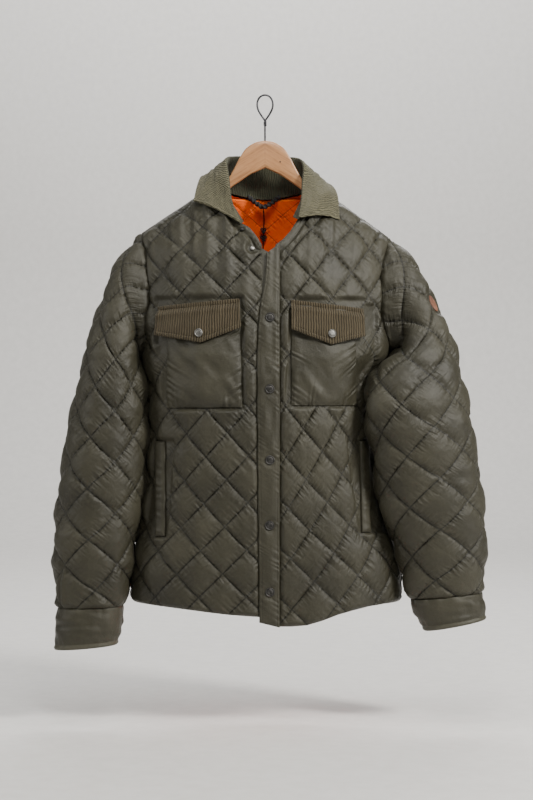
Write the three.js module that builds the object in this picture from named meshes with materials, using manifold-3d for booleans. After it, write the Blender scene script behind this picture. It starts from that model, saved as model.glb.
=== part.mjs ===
// Quilted jacket on a wooden hanger, in millimetres, +Z up.
// X runs to the wearer's left, the front faces -Y, and the origin is the inside top of the hook's eye.
// Each cloth piece is cut flat (p across, q up, h out of the cloth) and then laid on the garment's form.
import * as THREE from "three";
import { mergeVertices } from "three/addons/utils/BufferGeometryUtils.js";
import Module from "manifold-3d";

const wasm = await Module();
wasm.setup();

// Driving dimensions
const WALL = 2; // thickness of the shell between its quilting lines
const PUFF = 7; // height of the padding in the middle of a diamond
const SEAM = 0.3; // gap between two pieces at a seam
const FOLD_SEAM = 1.3; // gap at the foot of a seam where the two cloths lean together
const LAYER = 0.4; // gap between two layers of cloth
const SQUARE = 2.4; // exponent of the rounded cross sections
const UNDERARM_Z = -432;
const HEM_SIDE_Z = -838;
const HEM_END_X = 218;
const SHOULDER_WIDEN = 0.03; // the chest columns lean out by this share up to the shoulder
const NECK_POINT = { x: 84, z: -150 };
const SHOULDER_TIP = { x: 206, left: -231, right: -238 };
const V_BOTTOM_Z = -272; // foot of the neck opening
const BAND = { left: -12, right: 24, bottom: -869 }; // the front band's edges and foot
const STUD_RADIUS = 7.5;

const SLEEVE_SETBACK = 2; // the sleeve starts this far outside the armhole's line
const UNDERARM_LIFT = 4; // the sleeve's underside starts this far over the side seam
const CUFF_WALL = 3;
const TIP_GAP = 4; // more at the shoulder's tip, where three pieces meet
const TIP_FROM_X = 170;
const CUFF_GAP = 1; // under the sleeve's end
const SHOULDER_GAP = 0.7; // each panel stops this far short of the shoulder line
const SEAM_EASE = 24; // padding reaches its full height this far from a seam
const ON_PANEL = WALL + 1.6; // height over the lining side where pieces lie on a panel
const LINING_DROP = 3.3; // the lining hangs this far inside the shell
const BAND_WALL = 3.2;
const POCKET_PUFF = 8;
const WELT_WALL = 4;
const FLAP_LIFT = 4.4;
const FLAP_BASE = WALL + 0.9; // height of a flap's underside along its seam
const FLAP_WALL = 2.6;
const LEAF_WALL = 2.6;
const LEAF_BULGE = 7;
const LINING_PUFF = 3;
const PATCH = { at: [274, -34, -352], radius: 15, wall: 1.4 }; // sewn near this point of the sleeve
const HANGER_THICK = 12;
const HANGER_DROP = 5.9; // the bar's top under the shoulder line
const HANGER_END = 190;
const HANGER_TOP = [[0, -75], [17, -78], [32, -88], [42, -103], [57, -131], [71, -153], [84, -162]];
const HANGER_LOW = [[84, -176], [57, -153], [25, -131], [0, -120]];
const EYE = { width: 16, height: 43, wire: 1.6, stem: 34.2 };
const BAND_STUD_X = 8;
const BAND_STUDS = [-375, -489, -602, -708, -815];
const FLAP_STUDS = { left: [-103, -399], right: [105, -401] };
const SOCKET_RADIUS = 5;
const SOCKETS = [[-37, -230], [-20, -262]];
const LOOP = [[-29, 32.2, -163.4], [-14, 29, -176], [-3, 27.5, -182], [10, 29, -176], [25, 32.8, -164]];

// Left edge of the front band
const BAND_EDGE = [
  { z: -870, x: -9 },
  { z: -560, x: -12 },
  { z: -420, x: -12 },
  { z: -355, x: -7 },
  { z: -315, x: 0 },
  { z: -255, x: 3 },
];

// Collar stations: outer edge e, roll line r and neck seam m
const COLLAR = [
  { ex: -117, ey: -48, ez: -180, rx: -41, ry: -79, rz: -218, mx: -35, my: -67, mz: -216 },
  { ex: -113, ey: -12, ez: -151, rx: -56, ry: -56, rz: -180, mx: -53, my: -43, mz: -185 },
  { ex: -107, ey: 24, ez: -138, rx: -62, ry: -30, rz: -146, mx: -68, my: -19, mz: -160 },
  { ex: -98, ey: 52, ez: -146, rx: -64, ry: 0, rz: -118, mx: -75, my: 4, mz: -148 },
  { ex: -72, ey: 74, ez: -158, rx: -50, ry: 34, rz: -106, mx: -57, my: 23, mz: -155 },
  { ex: 0, ey: 82, ez: -164, rx: 0, ry: 50, rz: -103, mx: 0, my: 34, mz: -164 },
  { ex: 74, ey: 74, ez: -160, rx: 51, ry: 34, rz: -108, mx: 57, my: 23, mz: -155 },
  { ex: 102, ey: 52, ez: -150, rx: 65, ry: 0, rz: -124, mx: 75, my: 4, mz: -148 },
  { ex: 113, ey: 22, ez: -146, rx: 64, ry: -30, rz: -150, mx: 68, my: -19, mz: -160 },
  { ex: 121, ey: -14, ez: -168, rx: 61, ry: -56, rz: -180, mx: 56, my: -43, mz: -185 },
  { ex: 123, ey: -50, ez: -211, rx: 56, ry: -81, rz: -210, mx: 46, my: -67, mz: -208 },
];

// Half width on the two sides and half depth of the body at each height
const BODY = [
  { z: -900, left: 219, right: 224, depth: 98 },
  { z: -842, left: 218, right: 223, depth: 99 },
  { z: -773, left: 214, right: 216, depth: 102 },
  { z: -700, left: 203, right: 196, depth: 106 },
  { z: -600, left: 192, right: 176, depth: 110 },
  { z: -520, left: 189, right: 168, depth: 112 },
  { z: -465, left: 194, right: 176, depth: 112 },
  { z: -432, left: 202, right: 202, depth: 110 },
];
const CHEST = BODY[BODY.length - 1];

// The armhole seen from the front, from the side seam up to the shoulder tip
const ARMHOLE = [
  { z: -432, x: 202 },
  { z: -405, x: 196 },
  { z: -370, x: 191 },
  { z: -330, x: 189 },
  { z: -290, x: 192 },
  { z: -258, x: 198 },
  { z: -231, x: 206 },
];

// The neckline seen from the front, from the neck point to the foot of the opening
const NECK_LEFT = [
  { x: -84, z: -150 },
  { x: -66, z: -178 },
  { x: -42, z: -217 },
  { x: -25, z: -227 },
  { x: -13, z: -242 },
];
const NECK_RIGHT = [
  { x: 84, z: -150 },
  { x: 68, z: -178 },
  { x: 56, z: -208 },
  { x: 41, z: -233 },
  { x: 29, z: -247 },
];
const NECK_BACK = [
  { x: 84, z: -150 },
  { x: 60, z: -163 },
  { x: 30, z: -168 },
  { x: 0, z: -169 },
];

// The hem seen from the front: height by the distance from the middle
const HEM_LEFT = [
  { x: 0, z: -857 },
  { x: 60, z: -853 },
  { x: 105, z: -848 },
  { x: 155, z: -843 },
  { x: HEM_END_X, z: HEM_SIDE_Z },
];
const HEM_RIGHT = [
  { x: 24, z: -872 },
  { x: 62, z: -871 },
  { x: 90, z: -864 },
  { x: 114, z: -855 },
  { x: 140, z: -848 },
  { x: 175, z: -841 },
  { x: HEM_END_X, z: HEM_SIDE_Z },
];

// Quilting: half diagonals of a diamond, lean of the rows and one crossing of the lines
const QUILT = {
  frontLeft: { across: 36, up: 38, lean: 0.03, p: -64, q: -203 },
  frontRight: { across: 34, up: 41, lean: 0.12, p: 73, q: -203 },
  back: { across: 36, up: 39, lean: 0, p: 0, q: -203 },
  sleeve: { across: 42, up: 42, lean: 0, p: 0, q: 30 },
  lining: { across: 24, up: 24, lean: 0, p: 0, q: 160 },
};

// Sleeve rings from the cuff seam up: outer end, inner end, half thickness, turn of the seam.
// The last ring of each sleeve is the armhole itself.
const SLEEVE_LEFT = [
  { ox: -338, oy: -32, oz: -848, ix: -236, iy: -32, iz: -845, thick: 38, turn: 0 },
  { ox: -341, oy: -30, oz: -765, ix: -229, iy: -30, iz: -765, thick: 48, turn: 0 },
  { ox: -336, oy: -26, oz: -673, ix: -217, iy: -26, iz: -668, thick: 56, turn: 0 },
  { ox: -322, oy: -20, oz: -573, ix: -212, iy: -20, iz: -568, thick: 62, turn: 0 },
  { ox: -303, oy: -14, oz: -478, ix: -213, iy: -14, iz: -490, thick: 66, turn: 0 },
  { ox: -282, oy: -8, oz: -390, ix: -218, iy: -8, iz: -450, thick: 66, turn: 0 },
  { ox: -258, oy: -4, oz: -325, ix: -216, iy: -3, iz: -438, thick: 62, turn: 0 },
  { ox: -234, oy: -1, oz: -271, ix: -214, iy: 0, iz: -428, thick: 53, turn: 0 },
];
const SLEEVE_RIGHT = [
  { ox: 353, oy: -40, oz: -822, ix: 243, iy: -42, iz: -832, thick: 36, turn: -12 },
  { ox: 355, oy: -44, oz: -740, ix: 226, iy: -48, iz: -752, thick: 45, turn: -12 },
  { ox: 351, oy: -46, oz: -666, ix: 210, iy: -56, iz: -680, thick: 49, turn: -14 },
  { ox: 337, oy: -46, oz: -580, ix: 193, iy: -66, iz: -598, thick: 53, turn: -17 },
  { ox: 319, oy: -42, oz: -492, ix: 181, iy: -76, iz: -518, thick: 52, turn: -20 },
  { ox: 302, oy: -30, oz: -422, ix: 194, iy: -62, iz: -466, thick: 50, turn: -18 },
  { ox: 280, oy: -16, oz: -362, ix: 216, iy: -36, iz: -439, thick: 51, turn: -12 },
  { ox: 257, oy: -6, oz: -308, ix: 220, iy: -12, iz: -427, thick: 52, turn: -5 },
  { ox: 233, oy: -2, oz: -268, ix: 215, iy: 0, iz: -427, thick: 52, turn: 0 },
];
const CUFF_LEFT = { ox: -344, oy: -33, oz: -917, ix: -246, iy: -33, iz: -908, thick: 36, turn: 0 };
const CUFF_RIGHT = { ox: 360, oy: -40, oz: -866, ix: 264, iy: -44, iz: -884, thick: 33, turn: -12 };

// Value of a column of a table at one key, along a smooth curve through its rows
function look(rows, key, column, at) {
  let k = 0;
  while (k < rows.length - 2 && at > rows[k + 1][key]) k += 1;
  const slope = (n) => {
    const a = rows[Math.max(n - 1, 0)];
    const b = rows[Math.min(n + 1, rows.length - 1)];
    return (b[column] - a[column]) / (b[key] - a[key]);
  };
  const [a, b] = [rows[k], rows[k + 1]];
  const span = b[key] - a[key];
  const t = Math.min(Math.max((at - a[key]) / span, 0), 1);
  const t2 = t * t;
  const t3 = t2 * t;
  return (
    (2 * t3 - 3 * t2 + 1) * a[column] +
    (t3 - 2 * t2 + t) * span * slope(k) +
    (3 * t2 - 2 * t3) * b[column] +
    (t3 - t2) * span * slope(k + 1)
  );
}

const power = (value, exponent) => Math.sign(value) * Math.abs(value) ** exponent;

// The chest's ring by arc length s, from the centre front round to the wearer's left
const RING_STEPS = 1440;
const ring = [];
let ringLength = 0;
for (let k = 0; k <= RING_STEPS; k += 1) {
  const turn = (k / RING_STEPS) * 2 * Math.PI;
  const x = power(Math.sin(turn), 2 / SQUARE);
  const y = -power(Math.cos(turn), 2 / SQUARE);
  if (k > 0) {
    const last = ring[k - 1];
    ringLength += Math.hypot((x - last.x) * CHEST.left, (y - last.y) * CHEST.depth);
  }
  ring.push({ x, y, s: ringLength });
}
const SIDE_SEAM = ringLength / 4;
const BACK_CENTRE = ringLength / 2;

// The unit ring's point at arc length s
function ringAt(s) {
  const at = ((s % ringLength) + ringLength) % ringLength;
  let low = 0;
  let high = RING_STEPS;
  while (high - low > 1) {
    const middle = (low + high) >> 1;
    if (ring[middle].s <= at) low = middle;
    else high = middle;
  }
  const [a, b] = [ring[low], ring[high]];
  const t = (at - a.s) / (b.s - a.s);
  return { x: a.x + (b.x - a.x) * t, y: a.y + (b.y - a.y) * t };
}

// Arc length of the unit ring's point with this share of the half width
function ringFrom(share, back) {
  const turn = Math.asin(Math.min(Math.abs(share), 1) ** (SQUARE / 2)) * Math.sign(share);
  const around = back ? Math.PI - turn : turn;
  const k = ((((around / (2 * Math.PI)) % 1) + 1) % 1) * RING_STEPS;
  const low = Math.min(Math.floor(k), RING_STEPS - 1);
  const s = ring[low].s + (ring[low + 1].s - ring[low].s) * (k - low);
  return !back && s > BACK_CENTRE ? s - ringLength : s;
}

// Height of the shoulder line over x
function ridge(x) {
  const tip = x < 0 ? SHOULDER_TIP.left : SHOULDER_TIP.right;
  const slope = (tip - NECK_POINT.z) / (SHOULDER_TIP.x - NECK_POINT.x);
  const out = Math.abs(x) - NECK_POINT.x;
  return NECK_POINT.z + (out > 0 ? out * slope : out * -0.25);
}

// One column of cloth above the underarm, from the chest's ring to the shoulder line
const COLUMN_STEPS = 40;
function columnPoint(unit, t) {
  const angle = (t * Math.PI) / 2;
  const rise = Math.sin(angle);
  const chestX = CHEST.left * unit.x;
  const top = ridge(chestX * (1 + SHOULDER_WIDEN));
  return new THREE.Vector3(
    chestX * (1 + SHOULDER_WIDEN * rise * rise),
    CHEST.depth * unit.y * Math.cos(angle) ** 1.3,
    UNDERARM_Z + (top - UNDERARM_Z) * rise,
  );
}
const columns = new Map();
function column(s) {
  const name = s.toFixed(3);
  if (columns.has(name)) return columns.get(name);
  const unit = ringAt(s);
  const points = [{ at: columnPoint(unit, 0), length: 0 }];
  for (let k = 1; k <= COLUMN_STEPS; k += 1) {
    const at = columnPoint(unit, k / COLUMN_STEPS);
    points.push({ at, length: points[k - 1].length + at.distanceTo(points[k - 1].at) });
  }
  columns.set(name, points);
  return points;
}

// The body's cloth: p is the arc length round the chest, q the height over the underarm
function body(p, q) {
  const unit = ringAt(p);
  if (q <= 0) {
    const z = UNDERARM_Z + q;
    const half = look(BODY, "z", unit.x < 0 ? "left" : "right", z);
    return new THREE.Vector3(half * unit.x, look(BODY, "z", "depth", z) * unit.y, z);
  }
  const points = column(p);
  const end = points[COLUMN_STEPS].length;
  if (q > end) {
    const over = body(p, 2 * end - q);
    return over.setY(-over.y);
  }
  let k = 1;
  while (k < COLUMN_STEPS && points[k].length < q) k += 1;
  const [a, b] = [points[k - 1], points[k]];
  return a.at.clone().lerp(b.at, (q - a.length) / (b.length - a.length));
}

// The flat place of the body's point seen at x and z from the front or the back
function flat(x, z, back = false) {
  if (z <= UNDERARM_Z) {
    const half = look(BODY, "z", x < 0 ? "left" : "right", z);
    return [ringFrom(x / half, back), z - UNDERARM_Z];
  }
  let rise = 0;
  let chestX = x;
  for (let k = 0; k < 4; k += 1) {
    chestX = x / (1 + SHOULDER_WIDEN * rise * rise);
    const top = ridge(chestX * (1 + SHOULDER_WIDEN));
    rise = Math.min((z - UNDERARM_Z) / (top - UNDERARM_Z), 1);
  }
  const s = ringFrom(chestX / CHEST.left, back);
  const points = column(s);
  const k = (Math.asin(rise) / (Math.PI / 2)) * COLUMN_STEPS;
  const low = Math.min(Math.floor(k), COLUMN_STEPS - 1);
  return [s, points[low].length + (points[low + 1].length - points[low].length) * (k - low)];
}

// A point of a form moved out along its normal
function moved(form, p, q, h) {
  const step = 1.5;
  const at = form(p, q);
  const across = form(p + step, q).sub(form(p - step, q));
  const up = form(p, q + step).sub(form(p, q - step));
  return at.add(across.cross(up).normalize().multiplyScalar(h));
}

function solid(geometry) {
  const bare = geometry.clone();
  bare.deleteAttribute("normal");
  bare.deleteAttribute("uv");
  const merged = mergeVertices(bare, 1e-4);
  return new wasm.Manifold(
    new wasm.Mesh({
      numProp: 3,
      vertProperties: new Float32Array(merged.attributes.position.array),
      triVerts: new Uint32Array(merged.index.array),
    }),
  );
}

// A solid's triangles as a geometry, each vertex moved by place(x, y, z)
function geometryOf(made, place) {
  const mesh = made.getMesh();
  const count = mesh.vertProperties.length / mesh.numProp;
  const points = new Float32Array(count * 3);
  for (let k = 0; k < count; k += 1) {
    const [x, y, z] = mesh.vertProperties.slice(k * mesh.numProp, k * mesh.numProp + 3);
    const at = place ? place(x, y, z) : new THREE.Vector3(x, y, z);
    points.set([at.x, at.y, at.z], k * 3);
  }
  const geometry = new THREE.BufferGeometry();
  geometry.setAttribute("position", new THREE.BufferAttribute(points, 3));
  geometry.setIndex(new THREE.BufferAttribute(new Uint32Array(mesh.triVerts), 1));
  geometry.computeVertexNormals();
  return geometry;
}

// Flat pieces are cut on a slightly bowed board, so that a cut keeps the points of a plain face
const BOW = 1e-4;
const bow = (p, q) => BOW * (p * p + q * q);

// A flat slab over the box: fine points on top, every second one underneath
function slab(box, grid, top, bottom) {
  const even = (value) => 2 * Math.floor(value / 2);
  const row = (p, q) => (q - grid.q - grid.lean * (p - grid.p)) / grid.up;
  const corners = [row(box.p0, box.q0), row(box.p1, box.q0), row(box.p0, box.q1), row(box.p1, box.q1)];
  const i0 = even((box.p0 - grid.p) / grid.across) - 2;
  const i1 = even((box.p1 - grid.p) / grid.across) + 4;
  const j0 = even(Math.min(...corners)) - 2;
  const j1 = even(Math.max(...corners)) + 4;
  const points = [];
  const faces = [];
  const flatPoint = (i, j) => {
    const p = grid.p + i * grid.across;
    return [p, grid.q + j * grid.up + grid.lean * (p - grid.p)];
  };
  const upper = new Map();
  const lower = new Map();
  for (let i = i0; i <= i1; i += 1) {
    for (let j = j0; j <= j1; j += 1) {
      const [p, q] = flatPoint(i, j);
      upper.set(i + "," + j, points.length);
      points.push([p, q, bow(p, q) + top(p, q, i, j)]);
      if (i % 2 === 0 && j % 2 === 0) {
        lower.set(i + "," + j, points.length);
        points.push([p, q, bow(p, q) + bottom(p, q)]);
      }
    }
  }
  const u = (i, j) => upper.get(i + "," + j);
  const l = (i, j) => lower.get(i + "," + j);
  for (let i = i0; i < i1; i += 1) {
    for (let j = j0; j < j1; j += 1) {
      const [a, b, c, d] = [u(i, j), u(i + 1, j), u(i + 1, j + 1), u(i, j + 1)];
      if ((i + j) % 2 === 0) faces.push([a, b, c], [a, c, d]);
      else faces.push([a, b, d], [b, c, d]);
      if (i % 2 === 0 && j % 2 === 0) {
        const [e, f, g, k] = [l(i, j), l(i + 2, j), l(i + 2, j + 2), l(i, j + 2)];
        faces.push([e, g, f], [e, k, g]);
      }
    }
  }
  const wall = (from, to) => {
    const middle = u((from[0] + to[0]) / 2, (from[1] + to[1]) / 2);
    faces.push([u(...from), l(...from), middle]);
    faces.push([middle, l(...from), l(...to)]);
    faces.push([u(...to), middle, l(...to)]);
  };
  for (let i = i0; i < i1; i += 2) {
    wall([i, j0], [i + 2, j0]);
    wall([i + 2, j1], [i, j1]);
  }
  for (let j = j0; j < j1; j += 2) {
    wall([i1, j], [i1, j + 2]);
    wall([i0, j + 2], [i0, j]);
  }
  return new wasm.Manifold(
    new wasm.Mesh({
      numProp: 3,
      vertProperties: new Float32Array(points.flat()),
      triVerts: new Uint32Array(faces.flat()),
    }),
  );
}

// The prism that cuts a slab along a flat outline
function prism(outline) {
  const [low, high] = [-9, 120];
  const shape = new THREE.Shape(outline.map(([p, q]) => new THREE.Vector2(p, q)));
  const geometry = new THREE.ExtrudeGeometry(shape, { depth: high - low, bevelEnabled: false });
  geometry.translate(0, 0, low);
  return solid(geometry);
}

function boxOf(outline) {
  const ps = outline.map((point) => point[0]);
  const qs = outline.map((point) => point[1]);
  return { p0: Math.min(...ps), p1: Math.max(...ps), q0: Math.min(...qs), q1: Math.max(...qs) };
}

// Quilting grid with four steps to a diamond's diagonal
function quiltGrid(quilt) {
  return { p: quilt.p, q: quilt.q, lean: quilt.lean, across: quilt.across / 2, up: quilt.up / 2 };
}

// Share of the padding's height at a grid point: nothing on the lines, full in the middle
function cushion(i, j) {
  const a = Math.abs(Math.sin((Math.PI * (i + j)) / 4));
  const b = Math.abs(Math.sin((Math.PI * (i - j)) / 4));
  return (a * b) ** 0.7;
}

const parts = new THREE.Group();
function add(name, geometry, finish) {
  const mesh = new THREE.Mesh(geometry, finish);
  mesh.name = name;
  parts.add(mesh);
}

function finish(colour, roughness, metalness = 0) {
  return new THREE.MeshStandardMaterial({ color: colour, roughness, metalness });
}
const SHELL = finish(0x5c5a4c, 0.55);
const CORD = finish(0x6e6853, 0.9);
const FLAP_CORD = finish(0x6b5d45, 0.9);
const LINING = finish(0xe8590f, 0.6);
const BLACK = finish(0x16161a, 0.8);
const METAL = finish(0x55565a, 0.35, 0.9);
const WOOD = finish(0xc29468, 0.5);
const STEEL = finish(0x3b3c40, 0.35, 1);
const LEATHER = finish(0x8a4f33, 0.7);

// A quilted piece: cut from a slab, then laid on its form
function quilted(name, outline, quilt, form, plain = () => 1) {
  const top = (p, q, i, j) => WALL + PUFF * cushion(i, j) * plain(p, q);
  const cut = slab(boxOf(outline), quiltGrid(quilt), top, () => 0).intersect(prism(outline));
  add(name, geometryOf(cut, (p, q, h) => moved(form, p, q, h - bow(p, q))), SHELL);
}

// A plain piece laid on the body between two heights
function applied(name, outline, step, bottom, top, colour, form = body) {
  const box = boxOf(outline);
  const grid = { p: box.p0 - 1.3, q: box.q0 - 1.7, lean: 0, across: step, up: step };
  const cut = slab(box, grid, (p, q) => top(p, q), bottom).intersect(prism(outline));
  add(name, geometryOf(cut, (p, q, h) => moved(form, p, q, h - bow(p, q))), colour);
}

// Points along a run of corners, no two more than step apart
function run(corners, step, closed = false) {
  const out = [];
  const last = closed ? corners.length : corners.length - 1;
  for (let k = 0; k < last; k += 1) {
    const [a, b] = [corners[k], corners[(k + 1) % corners.length]];
    const count = Math.max(1, Math.round(Math.hypot(b[0] - a[0], b[1] - a[1]) / step));
    for (let n = 0; n < count; n += 1) {
      out.push([a[0] + ((b[0] - a[0]) * n) / count, a[1] + ((b[1] - a[1]) * n) / count]);
    }
  }
  if (!closed) out.push(corners[corners.length - 1]);
  return out;
}

// The armhole in the flat, from the side seam up to the tip; inset moves it into the panel
const ARMHOLE_STEPS = 14;
function armhole(side, back, inset) {
  const out = [];
  const tip = side < 0 ? SHOULDER_TIP.left : SHOULDER_TIP.right;
  for (let k = 0; k < ARMHOLE_STEPS; k += 1) {
    const t = Math.sin(((k / ARMHOLE_STEPS) * Math.PI) / 2);
    const z = UNDERARM_Z + (ARMHOLE[ARMHOLE.length - 1].z - UNDERARM_Z) * (k / ARMHOLE_STEPS);
    const x = look(ARMHOLE, "z", "x", z);
    const seen = UNDERARM_Z + ((z - UNDERARM_Z) * (tip - UNDERARM_Z)) / (SHOULDER_TIP.left - UNDERARM_Z);
    const across = k === 0 ? CHEST.left : x - inset * (0.4 + 0.6 * t);
    const [s, q] = flat(side * across, seen, back);
    out.push([s, k === 0 ? -inset : q]);
  }
  return out;
}

// Top end of the body's columns along the shoulder, from the tip to the neck point
function shoulder(side, back) {
  const out = [];
  for (let k = 0; k <= 6; k += 1) {
    const x = SHOULDER_TIP.x - FOLD_SEAM / 2 + ((NECK_POINT.x - SHOULDER_TIP.x) * k) / 6;
    const [s, q] = flat(side * x, ridge(side * x), back);
    const nearTip = Math.max((x - TIP_FROM_X) / (SHOULDER_TIP.x - TIP_FROM_X), 0);
    out.push([s, q - SHOULDER_GAP - TIP_GAP * nearTip]);
  }
  return out;
}

// Lower edge of the body, from x0 to x1
const HEM_STEPS = 8;
function hem(rows, x0, x1, back) {
  const out = [];
  for (let k = 0; k <= HEM_STEPS; k += 1) {
    const x = x0 + ((x1 - x0) * k) / HEM_STEPS;
    out.push(flat(x, look(rows, "x", "z", Math.abs(x)), back));
  }
  return out;
}

// Chest pockets, flaps and welts by the corners seen from the front
const POCKET_LEFT = [[-156, -362], [-40, -354], [-36, -519], [-158, -520]];
const POCKET_RIGHT = [[42, -354], [145, -361], [147, -516], [42, -516]];
const FLAP_LEFT = [[-172, -355], [-40, -344], [-38, -391], [-101, -415], [-172, -402]];
const FLAP_RIGHT = [[42, -346], [158, -359], [156, -404], [104, -418], [42, -394]];
const WELT_LEFT = [[-176, -574], [-160, -574], [-160, -728], [-176, -728]];
const WELT_RIGHT = [[152, -574], [167, -574], [170, -722], [155, -722]];
const flatRun = (corners, step) => run(corners.map(([x, z]) => flat(x, z)), step, true);

// Is the point inside the outline, grown by a margin round its middle?
function inside(outline, p, q, margin) {
  const box = boxOf(outline);
  return p > box.p0 - margin && p < box.p1 + margin && q > box.q0 - margin && q < box.q1 + margin;
}
const sewnOn = [POCKET_LEFT, POCKET_RIGHT, FLAP_LEFT, FLAP_RIGHT, WELT_LEFT, WELT_RIGHT];
const sewnOutlines = sewnOn.map((corners) => flatRun(corners, 400));
const socketPlaces = SOCKETS.map(([x, z]) => flat(x, z));
const PLAIN_ROUND_PIECES = 17; // no padding under a sewn-on piece and this far round it
const PLAIN_ROUND_SOCKETS = 26;
function underPatch(p, q) {
  if (sewnOutlines.some((outline) => inside(outline, p, q, PLAIN_ROUND_PIECES))) return 0;
  return socketPlaces.some(([a, b]) => Math.hypot(p - a, q - b) < PLAIN_ROUND_SOCKETS) ? 0 : 1;
}

// Padding dies out towards a seam
function toSeam(line, p, q) {
  let near = 1e9;
  for (let k = 1; k < line.length; k += 1) {
    const [a, b] = [line[k - 1], line[k]];
    const along = [b[0] - a[0], b[1] - a[1]];
    const size = along[0] ** 2 + along[1] ** 2;
    const t = Math.min(Math.max(((p - a[0]) * along[0] + (q - a[1]) * along[1]) / size, 0), 1);
    near = Math.min(near, Math.hypot(p - a[0] - along[0] * t, q - a[1] - along[1] * t));
  }
  return Math.min(near / SEAM_EASE, 1);
}

// Points down the cloth at one x seen from the front
function downRun(x, from, to) {
  const out = [];
  for (let k = 0; k <= 9; k += 1) out.push(flat(x, from + ((to - from) * k) / 9));
  return out;
}

// Shell fronts and back
function fronts() {
  for (const side of [-1, 1]) {
    const edge = side < 0 ? BAND.left - 0.8 : BAND.right + 0.8;
    const neck = (side < 0 ? NECK_LEFT : NECK_RIGHT).slice(1).map(({ x, z }) => flat(x, z));
    const rim = armhole(side, false, FOLD_SEAM / 2);
    rim[0][0] = side * (SIDE_SEAM - SEAM / 2);
    const hemLine = side < 0 ? HEM_LEFT : HEM_RIGHT;
    const low = hem(hemLine, edge, side * HEM_END_X, false).slice(0, -1);
    low.push([side * (SIDE_SEAM - SEAM / 2), HEM_SIDE_Z - UNDERARM_Z]);
    const seam = [...rim, ...shoulder(side, false)];
    const edgeTop = V_BOTTOM_Z + 16;
    const edgeFoot = look(hemLine, "x", "z", Math.abs(edge)) + 6;
    const outline = [...low, ...seam, ...neck, ...downRun(edge, edgeTop, edgeFoot).slice(0, -1)];
    quilted(
      side < 0 ? "front_left" : "front_right",
      outline,
      side < 0 ? QUILT.frontLeft : QUILT.frontRight,
      body,
      (p, q) => Math.min(underPatch(p, q), toSeam(seam, p, q)),
    );
  }
}

function back() {
  const local = ([s, q]) => [((s + ringLength) % ringLength) - BACK_CENTRE, q];
  const half = (side) => {
    const rim = armhole(side, true, FOLD_SEAM / 2);
    rim[0][0] = side < 0 ? BACK_CENTRE + SIDE_SEAM - SEAM / 2 : SIDE_SEAM + SEAM / 2;
    const neck = NECK_BACK.slice(1).map(({ x, z }) => flat(side * x, z, true));
    const foot = hem(HEM_LEFT, 0, side * HEM_END_X, true).slice(0, -1);
    foot.push([rim[0][0], HEM_SIDE_Z - UNDERARM_Z]);
    const seam = [...rim, ...shoulder(side, true)].map(local);
    return { seam, outline: [...foot.map(local), ...seam, ...neck.map(local)] };
  };
  const [left, right] = [half(-1), half(1)];
  const outline = [...left.outline, ...right.outline.reverse().slice(1, -1)];
  quilted(
    "back",
    outline,
    QUILT.back,
    (p, q) => body(p + BACK_CENTRE, q),
    (p, q) => Math.min(toSeam(left.seam, p, q), toSeam(right.seam, p, q)),
  );
}

fronts();
back();

// Sleeves: a ring is a rounded section between its outer and inner ends
const ringPoint = (row, side, angle) => {
  const outer = new THREE.Vector3(row.ox, row.oy, row.oz);
  const inner = new THREE.Vector3(row.ix, row.iy, row.iz);
  const half = outer.clone().sub(inner).multiplyScalar(0.5);
  const backward = new THREE.Vector3(-half.y, half.x, 0).multiplyScalar(side).normalize();
  const turned = angle + THREE.MathUtils.degToRad(row.turn);
  return outer
    .add(inner)
    .multiplyScalar(0.5)
    .addScaledVector(half, -power(Math.cos(turned), 0.92))
    .addScaledVector(backward, -side * row.thick * power(Math.sin(turned), 0.92));
};

// The armhole as a ring: from the underarm over the front or back to the tip and down again
function armholeRing(side) {
  const low = (k) => Math.max(1 - k / 7, 0);
  const half = (back) =>
    armhole(side, back, -SLEEVE_SETBACK).map(([p, q], k) =>
      body(p, q + UNDERARM_LIFT * low(k)).add(new THREE.Vector3(side * (0.5 + 4 * low(k)), 0, 0)),
    );
  const [first, second] = side > 0 ? [half(false), half(true)] : [half(true), half(false)];
  const tip = new THREE.Vector3(side * (SHOULDER_TIP.x + SLEEVE_SETBACK), 0, ridge(side * SHOULDER_TIP.x));
  const points = [...first, tip, ...second.reverse()];
  const lengths = [0];
  points.forEach((point, k) => {
    if (k > 0) lengths.push(lengths[k - 1] + point.distanceTo(points[k - 1]));
  });
  return (angle) => {
    const share = (((angle / (2 * Math.PI)) % 1) + 1) % 1;
    const at = share * lengths[lengths.length - 1];
    let k = 1;
    while (k < lengths.length - 1 && lengths[k] < at) k += 1;
    return points[k - 1].clone().lerp(points[k], (at - lengths[k - 1]) / (lengths[k] - lengths[k - 1]));
  };
}

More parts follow.
